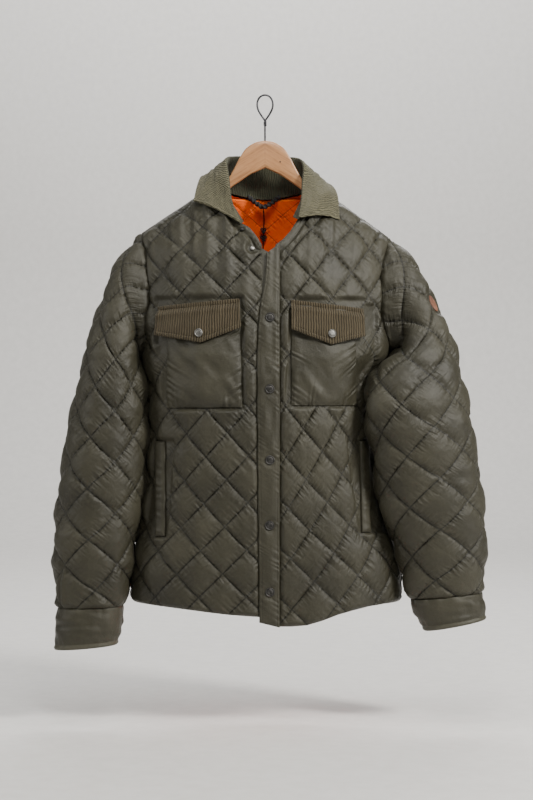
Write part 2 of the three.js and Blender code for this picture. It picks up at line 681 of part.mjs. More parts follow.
// A sleeve's form: p runs round it from its outer line, q up it from the cuff's seam
const AROUND = 72;
const SUBSTEPS = 5;
function sleeveForm(rows, side) {
  const last = armholeRing(side);
  const ends = rows.length;
  const knot = (k, angle) => (k >= ends ? last(angle) : ringPoint(rows[Math.max(k, 0)], side, angle));
  const at = (w, angle) => {
    const k = Math.min(Math.max(Math.floor(w), 0), ends - 1);
    const points = [k - 1, k, k + 1, k + 2].map((n) => knot(n, angle));
    if (k === 0) points[0].copy(points[1]).multiplyScalar(2).sub(points[2]);
    if (k === ends - 1) points[3].copy(points[2]).multiplyScalar(2).sub(points[1]);
    const spline = new THREE.CatmullRomCurve3(points, false, "centripetal");
    return spline.getPoint((1 + Math.min(w - k, 1)) / 3);
  };
  const table = [];
  const girth = [];
  for (let n = 0; n <= ends * SUBSTEPS; n += 1) {
    const line = [];
    for (let a = 0; a <= AROUND; a += 1) line.push(at(n / SUBSTEPS, (a / AROUND) * 2 * Math.PI));
    table.push(line);
    girth.push(line.reduce((sum, point, a) => (a ? sum + point.distanceTo(line[a - 1]) : 0), 0));
  }
  const length = [new Array(AROUND + 1).fill(0)];
  for (let n = 1; n < table.length; n += 1) {
    length.push(table[n].map((point, a) => length[n - 1][a] + point.distanceTo(table[n - 1][a])));
  }
  const between = (line, at1) => {
    const a = Math.floor(at1);
    const b = Math.min(a + 1, line.length - 1);
    return line[a] + (line[b] - line[a]) * (at1 - a);
  };
  const wrap = (share) => (((share % 1) + 1) % 1) * AROUND;
  const top = table.length - 1;
  const form = (p, q) => {
    let n = top / 2;
    let share = 0;
    for (let pass = 0; pass < 6; pass += 1) {
      share = wrap(0.5 + p / between(girth, n));
      let k = 1;
      while (k < top && between(length[k], share) < q) k += 1;
      const [low, high] = [between(length[k - 1], share), between(length[k], share)];
      n = k - 1 + Math.min(Math.max((q - low) / (high - low), 0), 1);
    }
    const over = q - between(length[top], share);
    const under = Math.min(q, 0);
    const k = Math.min(Math.floor(n), top - 1);
    const a = Math.floor(share);
    const b = Math.min(a + 1, AROUND);
    const row = (line) => line[a].clone().lerp(line[b], share - a);
    const [low, high] = [row(table[k]), row(table[k + 1])];
    const point = low.clone().lerp(high, n - k);
    const rest = over > 0 ? over : under;
    return point.addScaledVector(high.sub(low).normalize(), rest);
  };
  const outline = [];
  const gap = 0.2;
  for (let k = 0; k <= 12; k += 1) outline.push([(k / 6 - 1) * (girth[0] / 2 - gap), 0]);
  for (let n = 2; n < top; n += 2) outline.push([girth[n] / 2 - gap, length[n][AROUND]]);
  for (let a = AROUND; a >= 0; a -= 2) {
    const share = (a / AROUND - 0.5) * 2;
    outline.push([share * (girth[top] / 2 - gap), length[top][a]]);
  }
  for (let n = top - 2 + (top % 2); n > 0; n -= 2) outline.push([-girth[n] / 2 + gap, length[n][0]]);
  const ease = (p, q) => {
    const crown = between(length[top], wrap(0.5 + p / girth[top]));
    return Math.min(Math.max((crown - q) / 22, 0), 1) * Math.min(Math.max(q / 14, 0), 1);
  };
  return { form, outline, ease, girth, length };
}

const sleeves = { left: sleeveForm(SLEEVE_LEFT, -1), right: sleeveForm(SLEEVE_RIGHT, 1) };

// The flat place on a form nearest to a point, by ever finer steps
function nearest(form, point, p0, q0, reach) {
  let [p, q] = [p0, q0];
  for (let step = reach; step > 0.5; step /= 1.6) {
    let best = 1e9;
    const [pc, qc] = [p, q];
    for (let a = -2; a <= 2; a += 1) {
      for (let b = -2; b <= 2; b += 1) {
        const far = form(pc + a * step, qc + b * step).distanceTo(point);
        if (far < best) [best, p, q] = [far, pc + a * step, qc + b * step];
      }
    }
  }
  return [p, q];
}
const patchPlace = nearest(sleeves.right.form, new THREE.Vector3(...PATCH.at), 0, 450, 60);
const patchAway = (p, q) =>
  Math.hypot(p - patchPlace[0], q - patchPlace[1]) < PATCH.radius + 20 ? 0 : 1;
quilted("sleeve_left", sleeves.left.outline, QUILT.sleeve, sleeves.left.form, sleeves.left.ease);
quilted("sleeve_right", sleeves.right.outline, QUILT.sleeve, sleeves.right.form, (p, q) =>
  Math.min(sleeves.right.ease(p, q), patchAway(p, q)),
);

function patch() {
  const rim = [];
  for (let k = 0; k < 16; k += 1) {
    const angle = (k / 16) * 2 * Math.PI;
    const [across, up] = [PATCH.radius * Math.cos(angle), PATCH.radius * Math.sin(angle)];
    rim.push([patchPlace[0] + across, patchPlace[1] + up]);
  }
  const under = WALL + 2 * LAYER;
  applied("patch", rim, 10, () => under, () => under + PATCH.wall, LEATHER, sleeves.right.form);
}
patch();

// A closed wall over a grid of (u, v); a round one joins its last column to its first
function sheet(form, columnsOut, rowsUp, low, high, round = false) {
  const points = [];
  const faces = [];
  const across = round ? columnsOut : columnsOut + 1;
  const layer = across * (rowsUp + 1);
  for (const h of [high, low]) {
    for (let v = 0; v <= rowsUp; v += 1) {
      for (let u = 0; u < across; u += 1) {
        points.push(...movedUnit(form, u / columnsOut, v / rowsUp, h).toArray());
      }
    }
  }
  const id = (u, v) => v * across + (u % across);
  const quad = (a, b, c, d) => faces.push(a, b, c, a, c, d);
  for (let v = 0; v < rowsUp; v += 1) {
    for (let u = 0; u < columnsOut; u += 1) {
      quad(id(u, v), id(u + 1, v), id(u + 1, v + 1), id(u, v + 1));
      quad(layer + id(u, v), layer + id(u, v + 1), layer + id(u + 1, v + 1), layer + id(u + 1, v));
    }
  }
  for (let u = 0; u < columnsOut; u += 1) {
    quad(id(u, 0), layer + id(u, 0), layer + id(u + 1, 0), id(u + 1, 0));
    quad(id(u + 1, rowsUp), layer + id(u + 1, rowsUp), layer + id(u, rowsUp), id(u, rowsUp));
  }
  for (let v = 0; v < rowsUp && !round; v += 1) {
    quad(id(0, v + 1), layer + id(0, v + 1), layer + id(0, v), id(0, v));
    quad(id(columnsOut, v), layer + id(columnsOut, v), layer + id(columnsOut, v + 1), id(columnsOut, v + 1));
  }
  const geometry = new THREE.BufferGeometry();
  geometry.setAttribute("position", new THREE.BufferAttribute(new Float32Array(points), 3));
  geometry.setIndex(faces);
  geometry.computeVertexNormals();
  return geometry;
}

function movedUnit(form, u, v, h) {
  const step = 0.004;
  const across = form(u + step, v).sub(form(u - step, v));
  const up = form(u, v + step).sub(form(u, v - step));
  return form(u, v).add(across.cross(up).normalize().multiplyScalar(h));
}

// Cuffs
function cuffs() {
  for (const [name, side, low, rows] of [
    ["cuff_left", -1, CUFF_LEFT, SLEEVE_LEFT],
    ["cuff_right", 1, CUFF_RIGHT, SLEEVE_RIGHT],
  ]) {
    const form = (u, v) => {
      const angle = u * 2 * Math.PI;
      const [foot, head] = [ringPoint(low, side, angle), ringPoint(rows[0], side, angle)];
      return foot.lerp(head, v * (1 - CUFF_GAP / head.distanceTo(foot)));
    };
    add(name, sheet(form, 28, 2, 0, CUFF_WALL, true), SHELL);
  }
}
cuffs();

// Front band, its under layer and what lies on the fronts
const bandLeft = (z) => look(BAND_EDGE, "z", "x", z);
function band() {
  const heights = [V_BOTTOM_Z, -295, -322, -355, -390, -440, -500, -560, -620, -700, -780, BAND.bottom];
  const left = heights.map((z) => flat(bandLeft(z), z));
  const outline = [...left, ...downRun(BAND.right - 0.4, BAND.bottom, V_BOTTOM_Z + 18)];
  applied("front_band", outline, 18, () => ON_PANEL, () => ON_PANEL + BAND_WALL, SHELL);
  const [top, foot] = [V_BOTTOM_Z + 14, -851];
  const lower = [...downRun(BAND.left, top, foot), ...downRun(BAND.right - 1, foot, top - 20)];
  applied("under_band", lower, 18, () => 0, () => WALL, SHELL);
}
band();

// Height of a padded pocket over the panel: low at its edges and under the flap
function pocketTop(outline) {
  const box = boxOf(outline);
  return (p, q) => {
    const across = (p - box.p0) / (box.p1 - box.p0);
    const up = (q - box.q0) / (box.q1 - box.q0);
    const acrossRise = Math.max(across * (1 - across) * 4, 0);
    const upRise = Math.max((0.59 - up) * (up + 0.02) * 9, 0);
    return ON_PANEL + WALL + POCKET_PUFF * Math.sqrt(acrossRise * upRise);
  };
}

// Height of a flap's underside: on the panel along its top edge, over the pocket below
function flapUnder(outline) {
  const box = boxOf(outline);
  return (p, q) => FLAP_BASE + FLAP_LIFT * Math.min(Math.max((box.q1 + 6 - q) / 10, 0), 1);
}

for (const [name, pocket, flap, welt] of [
  ["left", POCKET_LEFT, FLAP_LEFT, WELT_LEFT],
  ["right", POCKET_RIGHT, FLAP_RIGHT, WELT_RIGHT],
]) {
  const pocketLine = flatRun(pocket, 40);
  applied("pocket_" + name, pocketLine, 18, () => ON_PANEL, pocketTop(pocketLine), SHELL);
  const flapLine = flatRun(flap, 30);
  const under = flapUnder(flapLine);
  applied("flap_" + name, flapLine, 12, under, (p, q) => under(p, q) + FLAP_WALL, FLAP_CORD);
  applied("welt_" + name, flatRun(welt, 40), 16, () => ON_PANEL, () => ON_PANEL + WELT_WALL, SHELL);
}

// Collar: stations from the left front end round the back to the right front end
const station = (rows, u, name) => {
  const at = Math.min(Math.max(u, -0.02), 1.02) * (rows.length - 1);
  const column3 = ["x", "y", "z"].map((axis) => lookIndex(rows, name + axis, at));
  return new THREE.Vector3(...column3);
};
function lookIndex(rows, columnName, at) {
  const table = rows.map((row, k) => ({ k, value: row[columnName] }));
  if (at < 0 || at > rows.length - 1) {
    const k = at < 0 ? 0 : rows.length - 1;
    const step = k === 0 ? 1 : -1;
    return table[k].value + (table[k + step].value - table[k].value) * (at - k) * step;
  }
  return look(table, "k", "value", at);
}
const leafForm = (u, v) => {
  const [edge, roll] = [station(COLLAR, u, "e"), station(COLLAR, u, "r")];
  const bulge = LEAF_BULGE * Math.sin(Math.PI * Math.min(Math.max(v, -0.1), 1.1));
  const out = new THREE.Vector3(edge.x, edge.y, 0).normalize().multiplyScalar(0.6).setZ(0.8);
  return edge.lerp(roll, v).addScaledVector(out, bulge);
};
const standForm = (u, v) => {
  const [seam, roll] = [station(COLLAR, u, "m"), station(COLLAR, u, "r")];
  const inward = new THREE.Vector3(-roll.x, -roll.y, 0).normalize().multiplyScalar(3.2);
  return seam.lerp(roll.add(inward).setZ(roll.z - 3), v);
};
add("collar_leaf", sheet(leafForm, 30, 4, 0, LEAF_WALL), CORD);
add("collar_stand", sheet(standForm, 30, 3, -1, 1), CORD);

// Lining of the upper back, cut with its padding to the inside
function lining() {
  const corners = [[78, -176], [84, -215], [76, -300], [0, -306]];
  const half = corners.map(([x, z]) => flat(x, z, true)).map(([p, q]) => [p - BACK_CENTRE, q]);
  const mirrored = half.slice(0, -1).reverse().map(([p, q]) => [-p, q]);
  const neck = [[-32, -182], [0, -184], [32, -182]].map(([x, z]) => flat(Math.abs(x), z, true));
  const top = neck.map(([p, q], k) => [(k - 1) * Math.abs(p - BACK_CENTRE), q]);
  const outline = run([...half, ...mirrored, ...top], 45, true).reverse();
  const seen = outline.map(([p, q]) => [-p, q]).reverse();
  const height = (p, q, i, j) => WALL + LINING_PUFF * cushion(i, j);
  const cut = slab(boxOf(seen), quiltGrid(QUILT.lining), height, () => 0).intersect(prism(seen));
  const inward = (p, q, h) => moved(body, BACK_CENTRE - p, q, bow(p, q) - LINING_DROP - h);
  add("lining_back", geometryOf(cut, inward), LINING);
}
lining();

// A round cord or wire along points
function wire(points, radius, sides, steps) {
  const path = new THREE.CatmullRomCurve3(points.map(([x, y, z]) => new THREE.Vector3(x, y, z)));
  const shape = new THREE.Shape();
  for (let k = 0; k <= sides; k += 1) {
    const angle = (k / sides) * 2 * Math.PI;
    const at = [radius * Math.cos(angle), radius * Math.sin(angle)];
    if (k === 0) shape.moveTo(...at);
    else shape.lineTo(...at);
  }
  return new THREE.ExtrudeGeometry(shape, { steps, bevelEnabled: false, extrudePath: path });
}
add("locker_loop", wire(LOOP, 2, 8, 16), BLACK);

// Hanger: a shaped bar, and a hook that ends in a closed eye
function hanger() {
  const arm = (side) => {
    const upper = [...HANGER_TOP];
    const lower = [...HANGER_LOW];
    for (const x of [100, 130, 160, HANGER_END]) {
      const z = ridge(side * x) - HANGER_DROP;
      upper.push([x, z]);
      lower.unshift([x, z - 22 + (x - 100) * 0.06]);
    }
    return [...upper, ...lower].map(([x, z]) => [side * x, z]);
  };
  const shape = new THREE.Shape();
  [...arm(-1).reverse().slice(1), ...arm(1).slice(1)].forEach(([x, z], k) => {
    if (k === 0) shape.moveTo(x, z);
    else shape.lineTo(x, z);
  });
  const geometry = new THREE.ExtrudeGeometry(shape, {
    depth: HANGER_THICK - 4,
    bevelThickness: 2,
    bevelSize: 2,
    bevelOffset: -2,
    bevelSegments: 1,
  });
  geometry.translate(0, 0, 2 - HANGER_THICK / 2);
  geometry.rotateX(Math.PI / 2);
  return geometry;
}
add("hanger_bar", hanger(), WOOD);

function hook() {
  const eye = [];
  for (let k = 0; k <= 20; k += 1) {
    const turn = (k / 20) * 2 * Math.PI;
    const drop = 0.5 - 0.5 * Math.cos(turn);
    const width = EYE.width * Math.sin(turn) * (1 - 0.35 * drop);
    eye.push([width, k === 20 ? 0.6 : 0, EYE.wire - drop * EYE.height]);
  }
  const loop = wire(eye, EYE.wire, 6, 30);
  const stem = new THREE.CylinderGeometry(EYE.wire, EYE.wire, EYE.stem, 8);
  stem.rotateX(Math.PI / 2);
  stem.translate(0, 0, EYE.wire - EYE.height - EYE.stem / 2 + 1);
  return geometryOf(solid(loop).add(solid(stem)));
}
add("hanger_hook", hook(), STEEL);

// Press studs: a low dome on the cloth
function stud(name, form, p, q, h, radius = STUD_RADIUS) {
  const profile = [[0, 0], [radius, 0], [radius, 1], [radius * 0.75, 2.1], [0, 2.4]];
  const geometry = new THREE.LatheGeometry(profile.map(([x, y]) => new THREE.Vector2(x, y)), 12);
  const up = moved(form, p, q, 1).sub(form(p, q));
  geometry.applyQuaternion(new THREE.Quaternion().setFromUnitVectors(new THREE.Vector3(0, 1, 0), up));
  const at = moved(form, p, q, h);
  geometry.translate(at.x, at.y, at.z);
  add(name, geometryOf(solid(geometry)), METAL);
}
BAND_STUDS.forEach((z, k) => {
  stud("stud_" + (k + 1), body, ...flat(BAND_STUD_X, z), ON_PANEL + BAND_WALL + SEAM);
});
for (const [name, [x, z]] of Object.entries(FLAP_STUDS)) {
  stud("flap_stud_" + name, body, ...flat(x, z), FLAP_BASE + FLAP_LIFT + FLAP_WALL + SEAM);
}
SOCKETS.forEach(([x, z], k) => {
  stud("socket_" + (k + 1), body, ...flat(x, z), WALL + LAYER, SOCKET_RADIUS);
});

export default parts;
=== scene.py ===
import bpy
import numpy as np
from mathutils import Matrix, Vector


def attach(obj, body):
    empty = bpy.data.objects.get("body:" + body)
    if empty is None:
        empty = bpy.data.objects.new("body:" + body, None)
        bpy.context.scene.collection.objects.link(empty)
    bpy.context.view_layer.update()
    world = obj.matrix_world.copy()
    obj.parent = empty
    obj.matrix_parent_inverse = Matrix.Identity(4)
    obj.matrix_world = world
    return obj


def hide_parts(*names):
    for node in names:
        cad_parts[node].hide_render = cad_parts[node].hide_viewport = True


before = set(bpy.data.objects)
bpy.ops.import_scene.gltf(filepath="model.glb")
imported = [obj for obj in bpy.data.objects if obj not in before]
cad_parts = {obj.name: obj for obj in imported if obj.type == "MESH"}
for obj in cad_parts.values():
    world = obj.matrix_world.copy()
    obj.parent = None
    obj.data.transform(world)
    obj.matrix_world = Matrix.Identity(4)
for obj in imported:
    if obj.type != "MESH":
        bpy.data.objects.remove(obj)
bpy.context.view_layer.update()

MM = 0.001
WALL = 2.0  # thickness of cloth and lining without padding
LEAST = 0.9  # least thickness where a pucker draws the cloth in
PUFF = 8.6  # height of the padding
PUCKER = 1.3
STRIDE = 4  # the inside of a wall has one point for this many outside
SIDE_GAP = 0.15  # half the gap at a side seam
ARM_GAP = 0.65  # inset of the body's panels at the armhole
BAND_OVER = 7.0  # how far the front band and the fronts overlap
FRONT_STEP, BACK_STEP, SLEEVE_STEP = 2.0, 2.5, 2.3  # distance between grid points
SQUARE = 2.4  # exponent of the body's squarish section
UNDERARM_Z = -432.0
HEM_SIDE_Z = -838.0
HEM_END_X = 218.0
WIDEN = 0.03
NECK_X, NECK_Z = 84.0, -150.0
TIP_X, TIP_LEFT, TIP_RIGHT = 206.0, -231.0, -238.0
V_BOTTOM_Z = -272.0
BAND_LEFT, BAND_RIGHT, BAND_BOTTOM = -12.0, 24.0, -869.0
STUD_X = 8.0
STUD_HEIGHTS = [-375, -489, -602, -708, -815]
FLAP_STUDS = {"left": (-103, -399), "right": (105, -401)}
SOCKETS = [(-37, -230), (-20, -262)]
PATCH_SPOT = (269.0, -43.0, -352.0)
SIGN = {"left": -1, "right": 1}

# Rows of height, half widths to the left and right, and half depth
BODY = np.array([
    [-900, 219, 224, 98], [-842, 218, 223, 99], [-773, 214, 216, 102], [-700, 203, 196, 106],
    [-600, 192, 176, 110], [-520, 189, 168, 112], [-465, 194, 176, 112], [-432, 202, 202, 110],
], float)
CHEST_X, CHEST_Y = 202.0, 110.0
ARMHOLE = np.array([
    [-432, 202], [-405, 196], [-370, 191], [-330, 189], [-290, 192], [-258, 198], [-231, 206],
], float)
NECKS = {
    "left": [(-66, -178), (-42, -217), (-25, -227), (-13, -242)],
    "right": [(68, -178), (56, -208), (41, -233), (29, -247)],
}
NECK_BACK = [(60, -163), (30, -168), (0, -169)]
HEMS = {
    "left": np.array([[0, -857], [60, -853], [105, -848], [155, -843], [218, -838]], float),
    "right": np.array([
        [24, -872], [62, -871], [90, -864], [114, -855], [140, -848], [175, -841], [218, -838],
    ], float),
}
BAND_EDGE = np.array([
    [-870, -9], [-560, -12], [-420, -12], [-355, -7], [-315, 0], [-255, 3],
], float)
# Half diagonals across and up, lean of the rows, and one crossing of the lines
QUILTS = {
    "front_left": (36, 38, 0.03, -64, -203),
    "front_right": (34, 41, 0.12, 73, -203),
    "back": (36, 39, 0, 0, -203),
    "sleeve": (42, 42, 0, 0, 30),
    "lining": (30, 30, 0, 0, 160),
}
# Outer point, inner point, half depth and turn of each section, from the cuff up
SLEEVES = {
    "left": [
        [-338, -32, -848, -236, -32, -845, 38, 0],
        [-341, -30, -765, -223, -30, -765, 48, 0],
        [-336, -26, -673, -205, -26, -668, 56, 0],
        [-322, -20, -573, -198, -20, -568, 62, 0],
        [-303, -14, -478, -200, -14, -490, 66, 0],
        [-282, -8, -390, -209, -8, -450, 66, 0],
        [-258, -4, -325, -212, -3, -438, 62, 0],
        [-234, -1, -271, -214, 0, -428, 53, 0],
    ],
    "right": [
        [353, -40, -822, 240, -42, -832, 36, -12],
        [355, -44, -740, 220, -48, -752, 45, -12],
        [351, -46, -666, 194, -60, -680, 50, -14],
        [337, -46, -580, 182, -73, -598, 54, -17],
        [319, -42, -492, 170, -84, -518, 53, -20],
        [302, -30, -422, 183, -70, -466, 51, -18],
        [280, -16, -362, 209, -41, -439, 51, -12],
        [257, -6, -308, 220, -12, -427, 52, -5],
        [233, -2, -268, 215, 0, -427, 52, 0],
    ],
}
CUFFS = {
    "left": [-344, -33, -917, -246, -33, -908, 36, 0],
    "right": [360, -40, -866, 264, -44, -884, 33, -12],
}
# Collar stations: outer edge, roll line, neck seam
COLLAR = np.array([
    [-117, -48, -180, -41, -79, -218, -35, -67, -216],
    [-113, -12, -151, -56, -56, -180, -53, -43, -185],
    [-107, 24, -131, -62, -30, -138, -68, -19, -160],
    [-98, 52, -140, -66, 0, -106, -75, 4, -148],
    [-72, 74, -155, -52, 34, -97, -57, 23, -155],
    [0, 82, -162, 0, 50, -97, 0, 34, -164],
    [74, 74, -157, 52, 34, -99, 57, 23, -155],
    [102, 52, -146, 66, 0, -114, 75, 4, -148],
    [113, 22, -146, 64, -30, -150, 68, -19, -160],
    [121, -14, -168, 61, -56, -180, 56, -43, -185],
    [123, -50, -211, 56, -81, -210, 46, -67, -208],
], float)
POCKETS = {
    "left": [(-156, -362), (-40, -354), (-36, -519), (-158, -520)],
    "right": [(42, -354), (145, -361), (147, -516), (42, -516)],
}
FLAPS = {
    "left": [(-172, -355), (-40, -344), (-38, -391), (-101, -415), (-172, -402)],
    "right": [(42, -346), (158, -359), (156, -404), (104, -418), (42, -394)],
}
WELTS = {
    "left": [(-176, -574), (-160, -574), (-160, -728), (-176, -728)],
    "right": [(152, -574), (167, -574), (170, -722), (155, -722)],
}


def look(keys, values, at):
    """Smooth curve through a table's rows, as the CAD model draws it."""
    keys, values = np.asarray(keys, float), np.asarray(values, float)
    at = np.asarray(at, float)
    last = len(keys) - 1
    k = np.clip(np.searchsorted(keys, at, side="left") - 1, 0, last - 1)
    own = np.arange(last + 1)
    before, after = np.maximum(own - 1, 0), np.minimum(own + 1, last)
    slopes = (values[after] - values[before]) / (keys[after] - keys[before])
    span = keys[k + 1] - keys[k]
    t = np.clip((at - keys[k]) / span, 0, 1)
    t2, t3 = t * t, t * t * t
    return (
        (2 * t3 - 3 * t2 + 1) * values[k]
        + (t3 - 2 * t2 + t) * span * slopes[k]
        + (3 * t2 - 2 * t3) * values[k + 1]
        + (t3 - t2) * span * slopes[k + 1]
    )


def power(value, exponent):
    """Power of a value that keeps its sign."""
    return np.sign(value) * np.abs(value) ** exponent


def lengths_along(points):
    """Length from the first row of points to each of the others."""
    steps = np.linalg.norm(np.diff(points, axis=0), axis=-1)
    return np.concatenate([np.zeros((1,) + steps.shape[1:]), np.cumsum(steps, 0)])


def between(a, b, c, d, t):
    """Point between b and c on the smooth curve through all four."""
    bend = (2 * a - 5 * b + 4 * c - d) * t * t + (3 * b - a - 3 * c + d) * t**3
    return 0.5 * (2 * b + (c - a) * t + bend)


def at_lengths(fine, lengths, want):
    """Points of each column of a grid at the wanted lengths along it."""
    out = np.zeros(want.shape + (3,))
    for u in range(want.shape[1]):
        for axis in range(3):
            out[:, u, axis] = np.interp(want[:, u], lengths[:, u], fine[:, u, axis])
    return out


TURNS = 1440
_turn = np.linspace(0, 2 * np.pi, TURNS + 1)
RING_X = power(np.sin(_turn), 2 / SQUARE)
RING_Y = -power(np.cos(_turn), 2 / SQUARE)
_steps = np.hypot(np.diff(RING_X) * CHEST_X, np.diff(RING_Y) * CHEST_Y)
RING_S = np.concatenate([[0], np.cumsum(_steps)])
RING = RING_S[-1]
SIDE, BACK = RING / 4, RING / 2


def ring_at(s):
    """Place on the chest's section, from -1 to 1, at a length round it."""
    at = np.mod(s, RING)
    return np.interp(at, RING_S, RING_X), np.interp(at, RING_S, RING_Y)


def ring_from(share, back):
    """Length round the chest's section at a share of its half width."""
    turn = np.arcsin(np.minimum(np.abs(share), 1) ** (SQUARE / 2)) * np.sign(share)
    around = np.pi - turn if back else turn
    s = np.interp(np.mod(around / (2 * np.pi), 1) * TURNS, np.arange(TURNS + 1), RING_S)
    return s if back else np.where(s > BACK, s - RING, s)


def ridge(x):
    """Height of the shoulder line."""
    tip = np.where(x < 0, TIP_LEFT, TIP_RIGHT)
    out = np.abs(x) - NECK_X
    return NECK_Z + np.where(out > 0, out * (tip - NECK_Z) / (TIP_X - NECK_X), out * -0.25)


COLUMN_STEPS = 40


def columns(ux, uy):
    """Lines up the chest to the shoulder ridge, with the length along each."""
    t = np.linspace(0, 1, COLUMN_STEPS + 1)[None, :]
    rise = np.sin(t * np.pi / 2)
    chest = CHEST_X * ux[:, None]
    top = ridge(chest * (1 + WIDEN))
    fall = np.maximum(np.cos(t * np.pi / 2), 0) ** 1.3
    points = np.stack([
        chest * (1 + WIDEN * rise * rise),
        CHEST_Y * uy[:, None] * fall,
        UNDERARM_Z + (top - UNDERARM_Z) * rise,
    ], -1)
    return points, lengths_along(np.moveaxis(points, 1, 0)).T


def half_width(x, z):
    """Half width of the body on the side that x is on."""
    return np.where(x < 0, look(BODY[:, 0], BODY[:, 1], z), look(BODY[:, 0], BODY[:, 2], z))


def body(p, q):
    """Points of the body's form at flat places p and q."""
    shape = np.broadcast(p, q).shape
    p, q = np.broadcast_to(p, shape).ravel(), np.broadcast_to(q, shape).ravel()
    ux, uy = ring_at(p)
    z = UNDERARM_Z + np.minimum(q, 0)
    depth = look(BODY[:, 0], BODY[:, 3], z)
    out = np.stack([half_width(ux, z) * ux, depth * uy, z], -1)
    above = np.nonzero(q > 0)[0]
    for start in range(0, len(above), 20000):
        part = above[start : start + 20000]
        points, lengths = columns(ux[part], uy[part])
        end = lengths[:, -1]
        want = q[part]
        over = want > end
        want = np.where(over, 2 * end - want, want)
        k = np.clip((lengths < want[:, None]).sum(1), 1, COLUMN_STEPS)
        rows = np.arange(len(part))
        a, b = lengths[rows, k - 1], lengths[rows, k]
        t = ((want - a) / (b - a))[:, None]
        at = points[rows, k - 1] * (1 - t) + points[rows, k] * t
        at[:, 1] = np.where(over, -at[:, 1], at[:, 1])
        out[part] = at
    return out.reshape(shape + (3,))


def flat(x, z, back=False):
    """Flat place of the body's point seen at x and z."""
    x, z = np.atleast_1d(np.asarray(x, float)), np.atleast_1d(np.asarray(z, float))
    x, z = np.broadcast_arrays(x, z)
    low = np.stack([ring_from(x / half_width(x, z), back), z - UNDERARM_Z], -1)
    rise, chest = np.zeros_like(x), x
    for _ in range(4):
        chest = x / (1 + WIDEN * rise * rise)
        rise = np.clip((z - UNDERARM_Z) / (ridge(chest * (1 + WIDEN)) - UNDERARM_Z), 0, 1)
    s = ring_from(chest / CHEST_X, back)
    shape = s.shape
    _, lengths = columns(*[a.ravel() for a in ring_at(s)])
    k = (np.arcsin(rise) / (np.pi / 2) * COLUMN_STEPS).ravel()
    k0 = np.minimum(k.astype(int), COLUMN_STEPS - 1)
    rows = np.arange(len(k0))
    q = lengths[rows, k0] + (lengths[rows, k0 + 1] - lengths[rows, k0]) * (k - k0)
    high = np.stack([s, q.reshape(shape)], -1)
    return np.where((z <= UNDERARM_Z)[..., None], low, high)


def armhole(side, back, inset):
    """Flat line of an armhole, from the underarm up."""
    out, steps = [], 14
    sign, tip = SIGN[side], TIP_LEFT if side == "left" else TIP_RIGHT
    for k in range(steps):
        t = np.sin(k / steps * np.pi / 2)
        z = UNDERARM_Z + (ARMHOLE[-1, 0] - UNDERARM_Z) * k / steps
        x = float(look(ARMHOLE[:, 0], ARMHOLE[:, 1], z))
        seen = UNDERARM_Z + (z - UNDERARM_Z) * (tip - UNDERARM_Z) / (TIP_LEFT - UNDERARM_Z)
        s, q = flat(sign * (CHEST_X if k == 0 else x - inset * (0.4 + 0.6 * t)), seen, back)[0]
        out.append([s, -inset if k == 0 else q])
    return np.array(out)


def shoulder(side, back):
    """Flat line of a shoulder seam, from the tip to the neck."""
    out = []
    for k in range(7):
        x = SIGN[side] * (TIP_X - ARM_GAP + (NECK_X - TIP_X) * k / 6)
        s, q = flat(x, ridge(x), back)[0]
        out.append([s, q - 0.2])
    return np.array(out)


def hem(table, x0, x1, back):
    """Flat line of a hem between two places."""
    x = np.linspace(x0, x1, 9)
    return flat(x, look(table[:, 0], table[:, 1], np.abs(x)), back)


def resample(line, count):
    """Points spread evenly along a line."""
    line = np.asarray(line, float)
    at = lengths_along(line)
    want = np.linspace(0, at[-1], count)
    return np.stack([np.interp(want, at, line[:, k]) for k in range(line.shape[1])], -1)


def coons(bottom, right, top, left, nu, nv):
    """Grid of flat places between four edges; rows run from bottom to top."""
    b, t = resample(bottom, nu), resample(top, nu)
    lo, r = resample(left, nv), resample(right, nv)
    u, v = np.linspace(0, 1, nu)[None, :, None], np.linspace(0, 1, nv)[:, None, None]
    ruled = (1 - v) * b[None] + v * t[None] + (1 - u) * lo[:, None] + u * r[:, None]
    corners = (1 - u) * (1 - v) * b[0] + u * (1 - v) * b[-1] + (1 - u) * v * t[0] + u * v * t[-1]
    return ruled - corners


def to_line(p, q, line):
    """Distance of each flat place from a line."""
    near = np.full(p.shape, 1e9)
    for a, b in zip(line[:-1], line[1:]):
        d = b - a
        t = np.clip(((p - a[0]) * d[0] + (q - a[1]) * d[1]) / max(d @ d, 1e-9), 0, 1)
        near = np.minimum(near, np.hypot(p - a[0] - d[0] * t, q - a[1] - d[1] * t))
    return near


def smooth(low, high, value):
    """Smooth step from 0 to 1 between two values."""
    t = np.clip((value - low) / (high - low), 0, 1)
    return t * t * (3 - 2 * t)


def mark(value, place, width):
    """One at a place, fading out to both sides of it."""
    return np.exp(-(((value - place) / width) ** 2))


def bulge(share):
    """Round rise from nothing at 0 and back to nothing at 1."""
    return np.sqrt(np.maximum(np.sin(np.pi * np.clip(share, 0, 1)), 0))


def noise(x, y, seed):
    """Smooth noise from -1 to 1 with one cell a unit."""
    i, j = np.floor(x), np.floor(y)
    fx, fy = x - i, y - j
    fx, fy = fx * fx * (3 - 2 * fx), fy * fy * (3 - 2 * fy)

    def corner(a, b):
        return np.mod(np.sin(a * 127.1 + b * 311.7 + seed * 74.7) * 43758.5453, 1) * 2 - 1

    low = corner(i, j) * (1 - fx) + corner(i + 1, j) * fx
    high = corner(i, j + 1) * (1 - fx) + corner(i + 1, j + 1) * fx
    return low * (1 - fy) + high * fy


